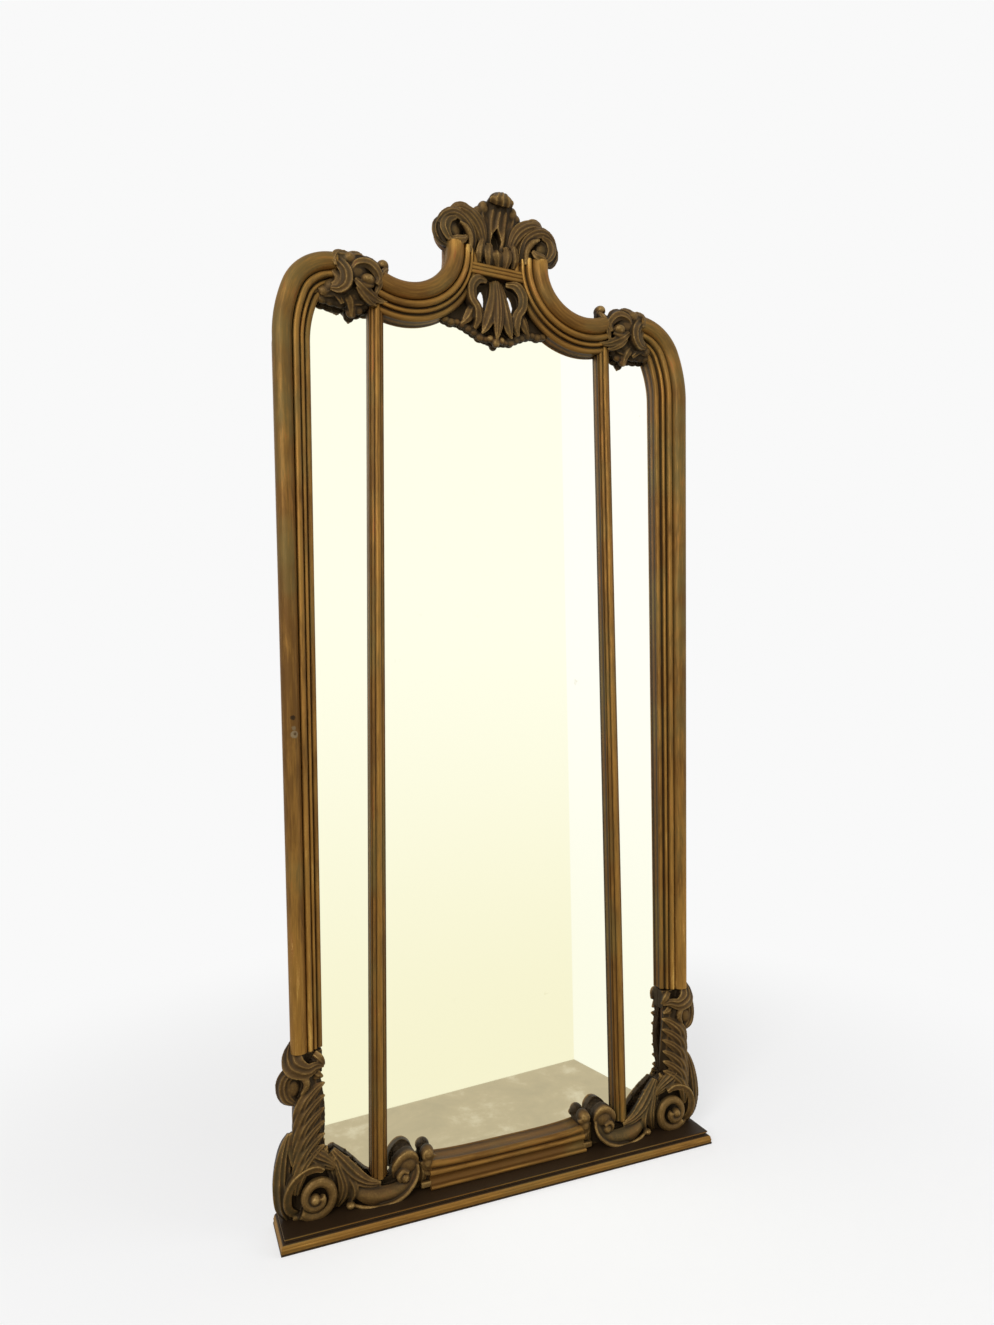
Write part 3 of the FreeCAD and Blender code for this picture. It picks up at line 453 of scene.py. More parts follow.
def arc_through(a, b, c, count):
    """Points after a, on the circle through a, b and c, at even steps up to c."""
    (ax, ay), (bx, by), (cx, cy) = a, b, c
    d = 2 * (ax * (by - cy) + bx * (cy - ay) + cx * (ay - by))
    a2, b2, c2 = ax * ax + ay * ay, bx * bx + by * by, cx * cx + cy * cy
    ox = (a2 * (by - cy) + b2 * (cy - ay) + c2 * (ay - by)) / d
    oy = (a2 * (cx - bx) + b2 * (ax - cx) + c2 * (bx - ax)) / d
    r = math.hypot(ax - ox, ay - oy)
    t0, tb, t1 = (math.atan2(y - oy, x - ox) for x, y in (a, b, c))
    turn = (t1 - t0) % math.tau
    if (tb - t0) % math.tau > turn:
        turn -= math.tau
    return [(ox + r * math.cos(t0 + turn * i / count), oy + r * math.sin(t0 + turn * i / count))
            for i in range(1, count + 1)]


def section(*members):
    """The corners of a moulding's section. A member is (u, v), or (u, v, crown u, crown v,
    count) for a round one."""
    points = [members[0]]
    for u, v, *crown in members[1:]:
        if crown:
            points += arc_through(points[-1], crown[:2], (u, v), crown[2])
        else:
            points.append((u, v))
    return points


def store_relief(mesh, values):
    layer = mesh.attributes.new("relief", "FLOAT", "POINT")
    layer.data.foreach_set("value", values.astype(np.float32))


def mark(obj, profile, uv_of, reach=4.0):
    """Stores how proud each vertex stands of the members within reach, and a map that runs
    along the sweep. uv_of gives (u, v, length run) of a vertex in millimetres."""
    table = np.array(profile)
    span = np.linalg.norm(table[:, None] - table[None], axis=2)
    near = np.exp(-(span / reach) ** 2)
    relief = (table[:, 1] - (near @ table[:, 1]) / near.sum(1)) / 1.6
    steps = np.linalg.norm(np.diff(table, axis=0, prepend=table[:1]), axis=1).cumsum()
    mesh = obj.data
    places = [uv_of(v.co / MM) for v in mesh.vertices]
    uv = np.array([p[:2] for p in places])
    nearest = np.linalg.norm(uv[:, None] - table[None], axis=2).argmin(1)
    store_relief(mesh, np.clip(relief[nearest], -1, 1))
    sweep = mesh.uv_layers.new(name="sweep")
    for loop in mesh.loops:
        i = loop.vertex_index
        sweep.data[loop.index].uv = (steps[nearest[i]] * MM, places[i][2] * MM)


def other_side(obj, name):
    """A mirrored copy of a right-hand piece for the left."""
    choose(obj)
    bpy.ops.object.duplicate()
    copy = bpy.context.object
    copy.name = copy.data.name = name
    bpy.ops.object.mode_set(mode="EDIT")
    bpy.ops.mesh.select_all(action="SELECT")
    bpy.ops.transform.mirror(constraint_axis=(True, False, False), center_override=(0, 0, 0))
    bpy.ops.mesh.flip_normals()
    bpy.ops.object.mode_set(mode="OBJECT")
    return copy


BODY = next(iter(frame["bodies"]))
RUN_FINISH, CARVED_FINISH = (GILT_RUN, "gilt_moulding"), (GILT_CARVED, "gilt_carving")


def settle(finish, obj, name, node):
    """Names a finished piece, gives it its finish and stands it in for its CAD node."""
    material, slot = finish
    obj.name = obj.data.name = name
    obj.data.materials.clear()
    obj.data.materials.append(material)
    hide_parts(node)
    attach(obj, BODY)


def settle_pair(finish, obj, name, node):
    """The right-hand piece and its mirrored partner."""
    left = other_side(obj, "left_" + name)
    settle(finish, obj, "right_" + name, "right_" + node)
    settle(finish, left, "left_" + name, "left_" + node)


# ---- run mouldings
STILE_FOOT, STILE_TOP = 312.0, 1614.4
STILE_FOOT_X, STILE_TOP_X = 418.5, 457.0
STILE_TAPER = 57.0 / 71.0
SHOULDER, SHOULDER_R, SHOULDER_TURN, WIDE_R = (337.4, 1680.0), 108.0, 70.0, 300.0
SCROLL, SCROLL_R, SCROLL_END, SCROLL_TOP = (202.0, 1848.0), 89.0, -63.0, 1862.0
JOIN = math.radians(90 - SHOULDER_TURN)
WIDE = (SHOULDER[0] + (SHOULDER_R - WIDE_R) * math.cos(JOIN),
        SHOULDER[1] + (SHOULDER_R - WIDE_R) * math.sin(JOIN))

RUN = section(
    (5, 0), (5.3, 15.3), (35.8, 30, 5.3, 40.7, 30), (36.2, 26), (38.0, 25.4),
    (49, 27, 42.8, 36, 12), (49.3, 23.6), (50.6, 23.2), (58.2, 20.4, 54.6, 27.4, 8),
    (58.6, 17.6), (60.0, 17.0), (71, 9.5, 66, 20.2, 9), (71, 0),
)


def on_ray(centre, radius, inward, turn, u, v):
    reach = radius + inward * u
    return at(centre[0] + reach * math.cos(turn), v, centre[1] + reach * math.sin(turn))


def spin(centre, degrees, steps):
    """Spins the selected ring round an upright circle, anticlockwise seen from the room."""
    bpy.ops.mesh.spin(steps=steps, angle=math.radians(degrees), axis=(0, 1, 0),
                      center=at(centre[0], 0, centre[1]))


def shoulder_moulding():
    obj = ring([on_ray(WIDE, WIDE_R, -1, 0, u, v) for u, v in RUN])
    spin(WIDE, 90 - SHOULDER_TURN, 12)
    spin(SHOULDER, SHOULDER_TURN, 36)
    close_ends(obj)

    def uv_of(p):
        turn = math.atan2(p.z - WIDE[1], p.x - WIDE[0])
        if turn < JOIN + 0.001:
            across = WIDE_R - math.hypot(p.x - WIDE[0], p.z - WIDE[1])
            return across, SEAT_Y - p.y, STILE_TOP + turn * WIDE_R
        dx, dz = p.x - SHOULDER[0], p.z - SHOULDER[1]
        run = JOIN * WIDE_R + (math.atan2(dz, dx) - JOIN) * SHOULDER_R
        return SHOULDER_R - math.hypot(dx, dz), SEAT_Y - p.y, STILE_TOP + run

    mark(obj, RUN, uv_of)
    return smooth(obj)


def c_scroll():
    start = math.radians(SCROLL_END)
    obj = ring([on_ray(SCROLL, SCROLL_R, 1, start, u, v) for u, v in RUN])
    spin(SCROLL, -180 - SCROLL_END, 60)
    draw_out((0, 0, (SCROLL_TOP - SCROLL[1]) * MM))
    close_ends(obj)

    def uv_of(p):
        if p.z > SCROLL[1] and p.x < SCROLL[0]:
            return SCROLL[0] - SCROLL_R - p.x, SEAT_Y - p.y, p.z - SCROLL[1]
        dx, dz = p.x - SCROLL[0], p.z - SCROLL[1]
        turn = math.atan2(dz, dx) % math.tau
        return math.hypot(dx, dz) - SCROLL_R, SEAT_Y - p.y, (math.pi - turn) * 120

    mark(obj, RUN, uv_of)
    return smooth(obj)


def stile_moulding():
    size, steps = STILE_TAPER, 12
    obj = ring([at(STILE_FOOT_X - u * size, v * size, STILE_FOOT) for u, v in RUN])
    rise = Vector((STILE_TOP_X - STILE_FOOT_X, 0, STILE_TOP - STILE_FOOT)) * MM / steps
    for i in range(steps):
        here, there = (size + (1 - size) * k / steps for k in (i, i + 1))
        edge = Vector((STILE_FOOT_X, SEAT_Y, STILE_FOOT)) * MM + rise * i
        bpy.ops.mesh.extrude_region_move()
        grow = there / here
        bpy.ops.transform.resize(value=(grow, grow, 1), center_override=edge)
        bpy.ops.transform.translate(value=rise)
    close_ends(obj)

    def uv_of(p):
        part = (p.z - STILE_FOOT) / (STILE_TOP - STILE_FOOT)
        edge = STILE_FOOT_X + (STILE_TOP_X - STILE_FOOT_X) * part
        size = STILE_TAPER + (1 - STILE_TAPER) * part
        return (edge - p.x) / size, (SEAT_Y - p.y) / size, p.z

    mark(obj, RUN, uv_of)
    return smooth(obj)


for make, node in ((stile_moulding, "stile_moulding"), (shoulder_moulding, "shoulder_moulding"),
                   (c_scroll, "c_scroll")):
    settle_pair(RUN_FINISH, make(), node + "_run", node)

# ---- straight members
MULLION_X, MULLION_FOOT, MULLION_HEAD = 256.0, 62.0, 1716.0
CROSSBAR_Z, CROSSBAR_HALF = 1824.0, 62.0
RAIL_HALF = 163.0
RAIL_TORUS, RAIL_TORUS_H, RAIL_LIFT = 21, 20, 6  # the torus's foot, height and lift at the ends
NOSE_RUBBED = ((4.5, 17), (21, 23))  # heights at which the plinth's nose is rubbed


def straight(points, move, count):
    """A ring of points drawn out along a straight line."""
    obj = ring(points)
    for _ in range(count):
        draw_out(Vector(move) * MM / count)
    close_ends(obj)
    return obj


def mullion():
    """A reeded half-round bar: a bold middle between two quirks."""
    half = section((14.5, 0), (14.5, 9), (12.4, 12.2, 14.3, 11.4, 3), (11.2, 11.4),
                   (6.8, 18.2, 10.4, 16.2, 6), (6.2, 17.2), (5.4, 17.4), (0, 24, 4.0, 22.6, 7))
    profile = [(14.5 - u, v) for u, v in half] + [(14.5 + u, v) for u, v in reversed(half[:-1])]
    obj = straight([at(MULLION_X + 14.5 - u, v, MULLION_FOOT) for u, v in profile],
                   (0, 0, MULLION_HEAD - MULLION_FOOT), 14)
    mark(obj, profile, lambda p: (MULLION_X + 14.5 - p.x, SEAT_Y - p.y, p.z + 500))
    return smooth(obj)


def crossbar():
    profile = section((0, 0), (0, 18), (8, 18, 4, 24.6, 8), (8.5, 17.2), (15.5, 17.2, 12, 25, 8),
                      (16, 18), (24, 18, 20, 24.6, 8), (24, 0))
    low = CROSSBAR_Z - 12
    obj = straight([at(-CROSSBAR_HALF, v, low + u) for u, v in profile],
                   (2 * CROSSBAR_HALF, 0, 0), 4)
    mark(obj, profile, lambda p: (p.z - low, SEAT_Y - p.y, p.x + 900), 3.0)
    return smooth(obj)


def bottom_rail():
    """Bead, flat, gold bead and a torus that sags to the middle, as one run moulding."""
    low = PLINTH_T
    profile = section((0, 0), (0, 29), (7.6, 28.6, 4, 34, 7), (8.6, 25.4),
                      (20.6, 24.2, 14, 22.6, 5), (21.6, 22.6), (29.6, 22.8, 26, 28.2, 7),
                      (30.6, 21), (41, 15, 37, 24.6, 9), (41, 0))
    obj = straight([at(-RAIL_HALF, v, low + u) for u, v in profile], (2 * RAIL_HALF, 0, 0), 40)
    mark(obj, profile, lambda p: (p.z - low, SEAT_Y - p.y, p.x + 900), 3.0)
    for vertex in obj.data.vertices:
        height = vertex.co.z / MM - low - RAIL_TORUS
        reach = abs(vertex.co.x / MM) / RAIL_HALF
        if height > 0:
            vertex.co.z += RAIL_LIFT * MM * height / RAIL_TORUS_H * reach ** 4
    return smooth(obj)


def plinth():
    """A board with a moulded nose that returns, mitred, along both ends."""
    nose = section((6, 25), (6, 22.4), (7.4, 21.6, 7.3, 22.3, 3), (9.2, 20.4), (8.4, 18.2),
                   (1.2, 11.4, 3.6, 17.2, 7), (0.6, 8.2, 0.2, 9.8, 3), (0.8, 4.6), (0, 4.2),
                   (1.6, 0, 0.1, 1.2, 3))
    front, back = -PLINTH_D / 2, PLINTH_D / 2
    bpy.ops.mesh.primitive_plane_add()
    obj = bpy.context.object
    build = bmesh.new()
    rows = [[build.verts.new(Vector((sign * (PLINTH_HALF - d), y if y > 0 else y + d, z)) * MM)
             for d, z in nose] for sign, y in ((-1, back), (-1, front), (1, front), (1, back))]
    for low, high in zip(rows, rows[1:]):
        for i in range(len(nose) - 1):
            build.faces.new((low[i], low[i + 1], high[i + 1], high[i]))
    build.faces.new([row[0] for row in rows])
    build.faces.new([row[-1] for row in reversed(rows)])
    build.faces.new(rows[0] + rows[-1][::-1])
    bmesh.ops.recalc_face_normals(build, faces=build.faces)
    build.to_mesh(obj.data)
    build.free()
    profile = [(d, -z) for d, z in nose]

    def uv_of(p):
        ahead, aside = p.y - front, PLINTH_HALF - abs(p.x)
        return min(ahead, aside), -p.z, p.x if ahead < aside else p.y

    mark(obj, profile, uv_of)
    relief = obj.data.attributes["relief"]
    for vertex in obj.data.vertices:
        rubbed = any(low < vertex.co.z / MM < high for low, high in NOSE_RUBBED)
        relief.data[vertex.index].value = 0.5 if rubbed else -1.0
    return smooth(obj)


settle_pair(RUN_FINISH, mullion(), "mullion_run", "mullion")
for make, name, node in ((crossbar, "crest_crossbar_run", "crest_crossbar"),
                         (bottom_rail, "bottom_rail_run", "bottom_rail_moulding"),
                         (plinth, "plinth_run", "plinth")):
    settle(RUN_FINISH, make(), name, node)


# ---- carving tools
FLUTE_COLUMNS = 6                # columns of a leaf's mesh to each flute
LEAF_BACK = 0.42                 # half the width of a leaf's back, as a share of the leaf's width
GRAIN, SOFTENING = 1.25, 2       # how finely carved blocks are fused, and rounds of smoothing
NEAR_ROUNDS, WIDE_ROUNDS = 8, 70  # rounds of smoothing that relief is measured against
SHADE_SUNK_FROM, SHADE_SUNK_OVER = 3, 11     # depths behind the carving round it where painted shade starts and where it is full
SHADE_LOW_TOP, SHADE_LOW_OVER = 14, 8        # depth over the seat under which the ground gets painted shade


def smooth_path(points, count):
    """Rows at even steps along a smooth line through the points, of any width."""
    rows = np.array(points, float)
    ends = np.vstack([2 * rows[0] - rows[1], rows, 2 * rows[-1] - rows[-2]])
    made = []
    for step in np.linspace(0, len(rows) - 1, count):
        i = min(int(step), len(rows) - 2)
        t = step - i
        a, b, c, d = ends[i:i + 4]
        made.append(0.5 * (2 * b + (c - a) * t + (2 * a - 5 * b + 4 * c - d) * t ** 2
                           + (3 * b - a - 3 * c + d) * t ** 3))
    return np.array(made)


def unit(rows):
    return rows / np.maximum(np.linalg.norm(rows, axis=-1, keepdims=True), 1e-9)


def leaf(spine, face=(0, 1, 0), flutes=2, groove=2.6, bow=0.35, thick=24, sway=0.05,
         reeded=False, steps=26):
    """A carved leaf. Each row of the spine is (x, depth, z, width). The face points along
    face at the root, where a depth towards the room is positive, and turns with the spine.
    Flutes are gouged hollow between sharp ridges, or left as round reeds. bow rounds the leaf
    across, and sway lets its flutes wander."""
    rows = smooth_path(spine, steps)
    middle, width = rows[:, :3], np.maximum(rows[:, 3], 1.0)
    way = unit(np.gradient(middle, axis=0))
    out = np.zeros_like(way)
    facing = np.array(face, float)
    for i in range(steps):
        facing = facing - way[i] * facing.dot(way[i])
        facing /= np.linalg.norm(facing)
        out[i] = facing
    across = np.cross(way, out)
    columns = flutes * FLUTE_COLUMNS + 1
    deselect()
    bpy.ops.mesh.primitive_grid_add(x_subdivisions=columns - 1, y_subdivisions=steps - 1)
    obj = bpy.context.object
    s = np.linspace(-1, 1, columns)
    part = (np.arange(columns) % FLUTE_COLUMNS) / FLUTE_COLUMNS
    hollow = np.sin(np.pi * part)
    ridge = hollow if reeded else 1 - hollow
    t = np.linspace(0, 1, steps)
    size = np.minimum(width / width.max() + 0.25, 1)
    wave = sway * np.sin(2.2 * np.pi * t[:, None] + 2.0 * s[None] + len(spine))
    side = s[None] + wave * (1 - s[None] ** 2)
    lift = (groove * (ridge[None] - 1) * size[:, None] * (1 - 0.35 * np.abs(s[None]))
            - bow * s[None] ** 2 * width[:, None] / 2)
    points = (middle[:, None] + across[:, None] * (side[..., None] * width[:, None, None] / 2)
              + out[:, None] * lift[..., None])
    for vertex, (x, depth, z) in zip(obj.data.vertices, points.reshape(-1, 3)):
        vertex.co = at(x, depth, z)
    row, column = steps // 2, columns // 2
    normal = obj.data.polygons[(columns - 1) * (row - 1) + column].normal
    if normal.dot(Vector((out[row][0], -out[row][1], out[row][2]))) < 0:
        obj.data.flip_normals()
    body = obj.modifiers.new("body", "SOLIDIFY")
    body.thickness, body.offset = thick * MM, -1
    body.use_even_offset = False
    bpy.ops.object.modifier_apply(modifier="body")
    half_back = LEAF_BACK * s[None, :, None] * width[:, None, None]
    back = (middle[:, None] + across[:, None] * half_back
            - out[:, None] * (thick * size)[:, None, None])
    for vertex, (x, depth, z) in zip(obj.data.vertices[columns * steps:], back.reshape(-1, 3)):
        vertex.co = at(x, max(depth, 1), z)
    return obj


def worm(points):
    """A round tapered member. Each point is (x, depth, z, radius)."""
    deselect()
    bpy.ops.curve.primitive_bezier_curve_add()
    obj = bpy.context.object
    curve = obj.data
    spline = curve.splines[0]
    spline.bezier_points.add(len(points) - 2)
    for knot, (x, depth, z, radius) in zip(spline.bezier_points, points):
        knot.co = at(x, depth, z)
        knot.handle_left_type = knot.handle_right_type = "AUTO"
        knot.radius = radius
    curve.dimensions = "3D"
    curve.bevel_depth = MM
    curve.bevel_resolution = 3
    curve.resolution_u = 8
    curve.use_fill_caps = True
    bpy.ops.object.convert(target="MESH")
    return bpy.context.object


def spiral(centre, radii, depths, thicks, start, turns, tighten=0.8):
    """A worm that winds in to an eye. turns above 0 go anticlockwise seen from the room."""
    count = max(5, round(abs(turns) * 10))
    points = []
    for i in range(count + 1):
        t = i / count
        turn = math.radians(start) + math.tau * turns * t
        radius = radii[0] + (radii[1] - radii[0]) * t ** tighten
        points.append((centre[0] + radius * math.cos(turn),
                       depths[0] + (depths[1] - depths[0]) * t,
                       centre[1] + radius * math.sin(turn),
                       thicks[0] + (thicks[1] - thicks[0]) * t))
    return worm(points)


def dome(x, depth, z, half_x, half_y, half_z):
    deselect()
    bpy.ops.mesh.primitive_uv_sphere_add(segments=20, ring_count=12, radius=1)
    obj = bpy.context.object
    for vertex in obj.data.vertices:
        a, b, c = vertex.co
        vertex.co = at(x + a * half_x, depth - b * half_y, z + c * half_z)
    return obj


def board(outline, back, front):
    """A flat piece sawn to an outline of (x, z) corners."""
    deselect()
    bpy.ops.mesh.primitive_circle_add(vertices=len(outline), fill_type="NGON")
    obj = bpy.context.object
    for vertex, (x, z) in zip(obj.data.vertices, outline):
        vertex.co = at(x, back, z)
    bpy.ops.object.mode_set(mode="EDIT")
    bpy.ops.mesh.select_all(action="SELECT")
    draw_out((0, (back - front) * MM, 0))
    bpy.ops.mesh.select_all(action="SELECT")
    bpy.ops.mesh.normals_make_consistent(inside=False)
    bpy.ops.object.mode_set(mode="OBJECT")
    return obj


def turned(sign, points):
    """Points of the right-hand side as they are, or mirrored to the left where sign is -1."""
    return [(sign * x, *others) for x, *others in points]


def sunk_below(place, cell=2.0, reach=7):
    """How far each point lies behind the carving round it, seen from the room."""
    col, row = (((place[:, k] - place[:, k].min()) / cell).astype(int) + reach for k in (0, 2))
    tops = np.full((col.max() + reach + 1, row.max() + reach + 1), np.nan)
    order = np.argsort(-place[:, 1])
    tops[col[order], row[order]] = -place[order, 1]
    round_it = [np.roll(tops, (i, j), (0, 1)) for i in range(-reach, reach + 1)
                for j in range(-reach, reach + 1) if i * i + j * j <= reach * reach]
    around = np.nanpercentile(np.array([tops] * 2 + round_it), 75, axis=0)
    return around[col, row] + place[:, 1]


def measure_relief(obj):
    """Stores how proud each vertex stands of the carving round it, near and wider, less where
    it lies deep down behind the carving round it or low over the seat: painted shade."""
    mesh = obj.data
    count = len(mesh.vertices)
    place = np.empty(count * 3)
    mesh.vertices.foreach_get("co", place)
    place = place.reshape(-1, 3) / MM
    normal = np.empty(count * 3)
    mesh.vertices.foreach_get("normal", normal)
    normal = normal.reshape(-1, 3)
    ends = np.empty(len(mesh.edges) * 2, int)
    mesh.edges.foreach_get("vertices", ends)
    one, two = np.concatenate([ends[::2], ends[1::2]]), np.concatenate([ends[1::2], ends[::2]])
    share = 1 / np.maximum(np.bincount(one, minlength=count), 1)
    soft, heights = place.copy(), []
    for i in range(1, WIDE_ROUNDS + 1):
        soft = np.stack([np.bincount(one, soft[two, k], count) * share for k in range(3)], 1)
        if i in (NEAR_ROUNDS, WIDE_ROUNDS):
            heights.append(((place - soft) * normal).sum(1))
    # painted shade where a point lies behind the carving round it, in undercuts and recesses
    occlusion_shade = np.clip((sunk_below(place) - SHADE_SUNK_FROM) / SHADE_SUNK_OVER, 0, 1)
    # painted shade on the ground that lies low over the seat
    low = np.clip((SHADE_LOW_TOP - SEAT_Y + place[:, 1]) / SHADE_LOW_OVER, 0, 1)
    relief = np.clip(heights[0] / 0.9 * 0.5 + heights[1] / 2.4 * 0.6 - 1.3 * occlusion_shade - low, -1, 1)
    store_relief(mesh, relief)


def carve(parts, holes=()):
    """Joins overlapping parts into one carved block: fused, pierced and softened."""
    choose(*parts)
    bpy.ops.object.join()
    block = bpy.context.object

    def apply(kind, **settings):
        step = block.modifiers.new("step", kind)
        for key, value in settings.items():
            setattr(step, key, value)
        choose(block)
        bpy.ops.object.modifier_apply(modifier="step")

    apply("REMESH", mode="VOXEL", voxel_size=GRAIN * MM)
    for hole in holes:
        apply("BOOLEAN", operation="DIFFERENCE", object=hole, solver="EXACT")
    if holes:
        apply("REMESH", mode="VOXEL", voxel_size=GRAIN * MM)
        choose(*holes)
        bpy.ops.object.delete()
    apply("SMOOTH", factor=0.5, iterations=SOFTENING)
    measure_relief(block)
    choose(block)
    bpy.ops.object.shade_smooth()
    return block


# ---- carved ornament
def base_volute():
    """The big volute on the plinth: a fluted body round a recess darkened by painted shade, and
    the winding in it.
    """
    return carve([
        board([(340, 25), (334, 60), (340, 100), (352, 124), (398, 146), (414, 146), (430, 116),
               (436, 90), (434, 56), (424, 25)], 0, 11),
        leaf([(416, 14, 26, 24), (424, 22, 48, 36), (428, 27, 80, 38), (427, 27, 112, 36),
              (424, 25, 142, 28), (421, 22, 162, 18), (419, 19, 174, 6)], flutes=4, groove=4.0,
             bow=0.5, thick=26),
        leaf([(431, 12, 60, 16), (436, 13, 96, 18), (432, 13, 134, 14), (425, 13, 164, 5)],
             face=(0.8, 1, 0), thick=12),
        leaf([(398, 14, 27, 12), (418, 24, 44, 14), (422, 30, 70, 15), (412, 35, 94, 15),
              (394, 37, 107, 15), (376, 37, 110, 14), (361, 33, 103, 8)], flutes=1, groove=2.4,
             bow=0.3, thick=26),
        leaf([(396, 26, 182, 28), (394, 32, 152, 38), (380, 33, 130, 38), (357, 28, 113, 28),
              (338, 20, 98, 12)], flutes=5, groove=3.4, bow=0.4),
        leaf([(400, 33, 112, 20), (409, 31, 132, 22), (413, 27, 152, 18), (414, 22, 176, 8)],
             groove=3.4, bow=0.4, thick=22),
        leaf([(378, 26, 118, 14), (366, 26, 126, 14), (356, 20, 134, 4)], thick=14),
        spiral((374, 61), (35, 8), (20, 36), (10.5, 6.5), -45, -1.45, tighten=1.05),
        dome(377, 34, 61, 9, 11, 9),
        leaf([(352, 14, 108, 14), (342, 20, 84, 16), (338, 20, 56, 16), (343, 16, 28, 14)],
             thick=14),
        worm([(350, 12, 28, 4), (384, 16, 25, 6), (412, 14, 29, 5)]),
    ])


def stem_leaf():
    """The carved foot of the stile: a cup under the moulding, a rolled knob and a stem of
    overlapping leaves that point to the glass."""
    stem = [
        leaf([(408, 24, z - 70, 12), (405, 33, z - 44, 22), (396, 38, z - 20, 26),
              (380, 34, z - 5, 22), (366, 27, z + 3, 13), (357, 22, z + 6, 3)], flutes=3,
             groove=2.8, bow=0.4, sway=0.12)
        for z in (138, 158, 179, 202, 224, 246)
    ]
    return carve([
        leaf([(384, 18, 134, 54), (383, 26, 172, 54), (384, 30, 212, 54), (388, 30, 250, 50),
              (390, 28, 284, 46)], flutes=5, groove=3.0, bow=0.5),
        *stem,
        dome(416, 14, 254, 20, 16, 24),
        leaf([(398, 36, 273, 14), (412, 39, 280, 24), (426, 34, 272, 30), (431, 30, 254, 32),
              (426, 30, 236, 28), (412, 30, 226, 14)], face=(0.55, 1, 0.25), flutes=4, groove=3.4,
             bow=0.7, thick=18),
        leaf([(404, 40, 276, 8), (394, 43, 266, 12), (393, 40, 252, 11), (401, 34, 240, 5)],
             flutes=1, groove=1.8, bow=0.9, thick=18),
        leaf([(414, 12, 331, 10), (419, 26, 315, 32), (417, 37, 298, 40), (405, 42, 288, 34),
              (389, 41, 283, 25), (373, 33, 286, 16), (359, 24, 281, 4)], face=(0.5, 1, 0.2),
             flutes=3, groove=3.6, bow=0.2, thick=22, sway=0.1),
        leaf([(380, 24, 304, 18), (370, 30, 296, 18), (362, 27, 287, 12), (357, 20, 281, 3)],
             groove=2.4, thick=16),
        leaf([(384, 28, 276, 16), (371, 30, 268, 16), (360, 23, 262, 4)], thick=16),
        board([(362, 270), (362, 308), (414, 308), (414, 270)], 0, 18),
    ])


def base_leaf_scroll():
    """The leaf between the volute and the rail: spray, boat under the mullion, rolled end."""
    tips = [
        leaf([(x + 12, 14, z - 26, 15), (x + 5, 20, z - 10, 15), (x, 15, z, 3)], groove=2.4,
             thick=12)
        for x, z in ((352, 139), (335, 122), (313, 112), (299, 97))
    ]
    return carve([
        board([(168, 25), (180, 60), (190, 90), (208, 98), (224, 86), (234, 60), (272, 46),
               (300, 68), (322, 100), (340, 110), (342, 25)], 0, 10),
        leaf([(346, 16, 126, 18), (328, 24, 102, 32), (306, 28, 78, 34), (282, 27, 61, 24),
              (256, 24, 54, 10)], flutes=4, groove=3.6, bow=0.4, thick=18),
        *tips,
        leaf([(334, 14, 26, 12), (326, 26, 46, 20), (324, 30, 68, 22), (332, 26, 96, 16),
              (338, 18, 114, 8)], flutes=3, groove=3.4, bow=0.5, thick=20),
        leaf([(316, 16, 28, 8), (308, 27, 42, 15), (307, 30, 58, 16), (315, 26, 80, 10)],
             groove=3.0, bow=0.6, thick=20),
        leaf([(306, 20, 64, 8), (294, 28, 48, 22), (268, 33, 39, 31), (238, 34, 37, 31),
              (212, 33, 46, 25), (197, 30, 62, 18), (192, 27, 78, 8)], flutes=1, groove=0.0,
             bow=0.5),
        worm([(308, 24, 30, 3), (286, 33, 25, 3.4), (256, 37, 22, 4), (224, 36, 27, 4),
              (200, 33, 42, 4), (189, 30, 60, 3.4), (188, 27, 76, 3)]),
        dome(312, 24, 31, 8, 9, 6),
        dome(208, 15, 80, 23, 19, 22),
        leaf([(230, 24, 58, 8), (230, 31, 76, 14), (220, 34, 90, 16), (206, 35, 96, 16),
              (193, 32, 89, 13), (187, 27, 76, 6)], face=(0.1, 1, 0.3), flutes=1, groove=1.6,
             bow=0.6),
        leaf([(221, 32, 52, 6), (224, 36, 62, 9), (217, 37, 71, 9), (207, 36, 66, 7)], flutes=1,
             groove=0.0, bow=0.9, thick=16),
        dome(213, 28, 59, 9, 10, 9),
        leaf([(181, 12, 28, 12), (176, 20, 44, 16), (177, 22, 60, 12), (182, 18, 74, 4)],
             groove=2.4, thick=14),
    ])


def rail_ends():
    """The rolled ends of the bottom rail's torus."""
    x, z = 166, 87
    return carve([piece for sign in (1, -1) for piece in (
        spiral((sign * x, z), (10, 4), (20, 25), (6.5, 4), 90 + sign * 95, sign * 1.1),
        dome(sign * x, 14, z, 13, 16, 14),
        dome(sign * (x + 1), 14, 72, 11, 15, 14),
        leaf(turned(sign, [(157, 24, 60, 10), (170, 26, 64, 12), (177, 24, 76, 10)]), flutes=1,
             groove=1.6, bow=0.8, thick=18),
        leaf(turned(sign, [(156, 24, 50, 7), (168, 24, 53, 10), (177, 22, 62, 6)]), flutes=1,
             groove=1.2, bow=0.8, thick=18),
        board(turned(sign, [(161, 29), (161, 39), (180, 39), (180, 29)]), 1, 26),
        board(turned(sign, [(156, 30), (156, 84), (176, 84), (176, 30)]), 0, 14),
    )])


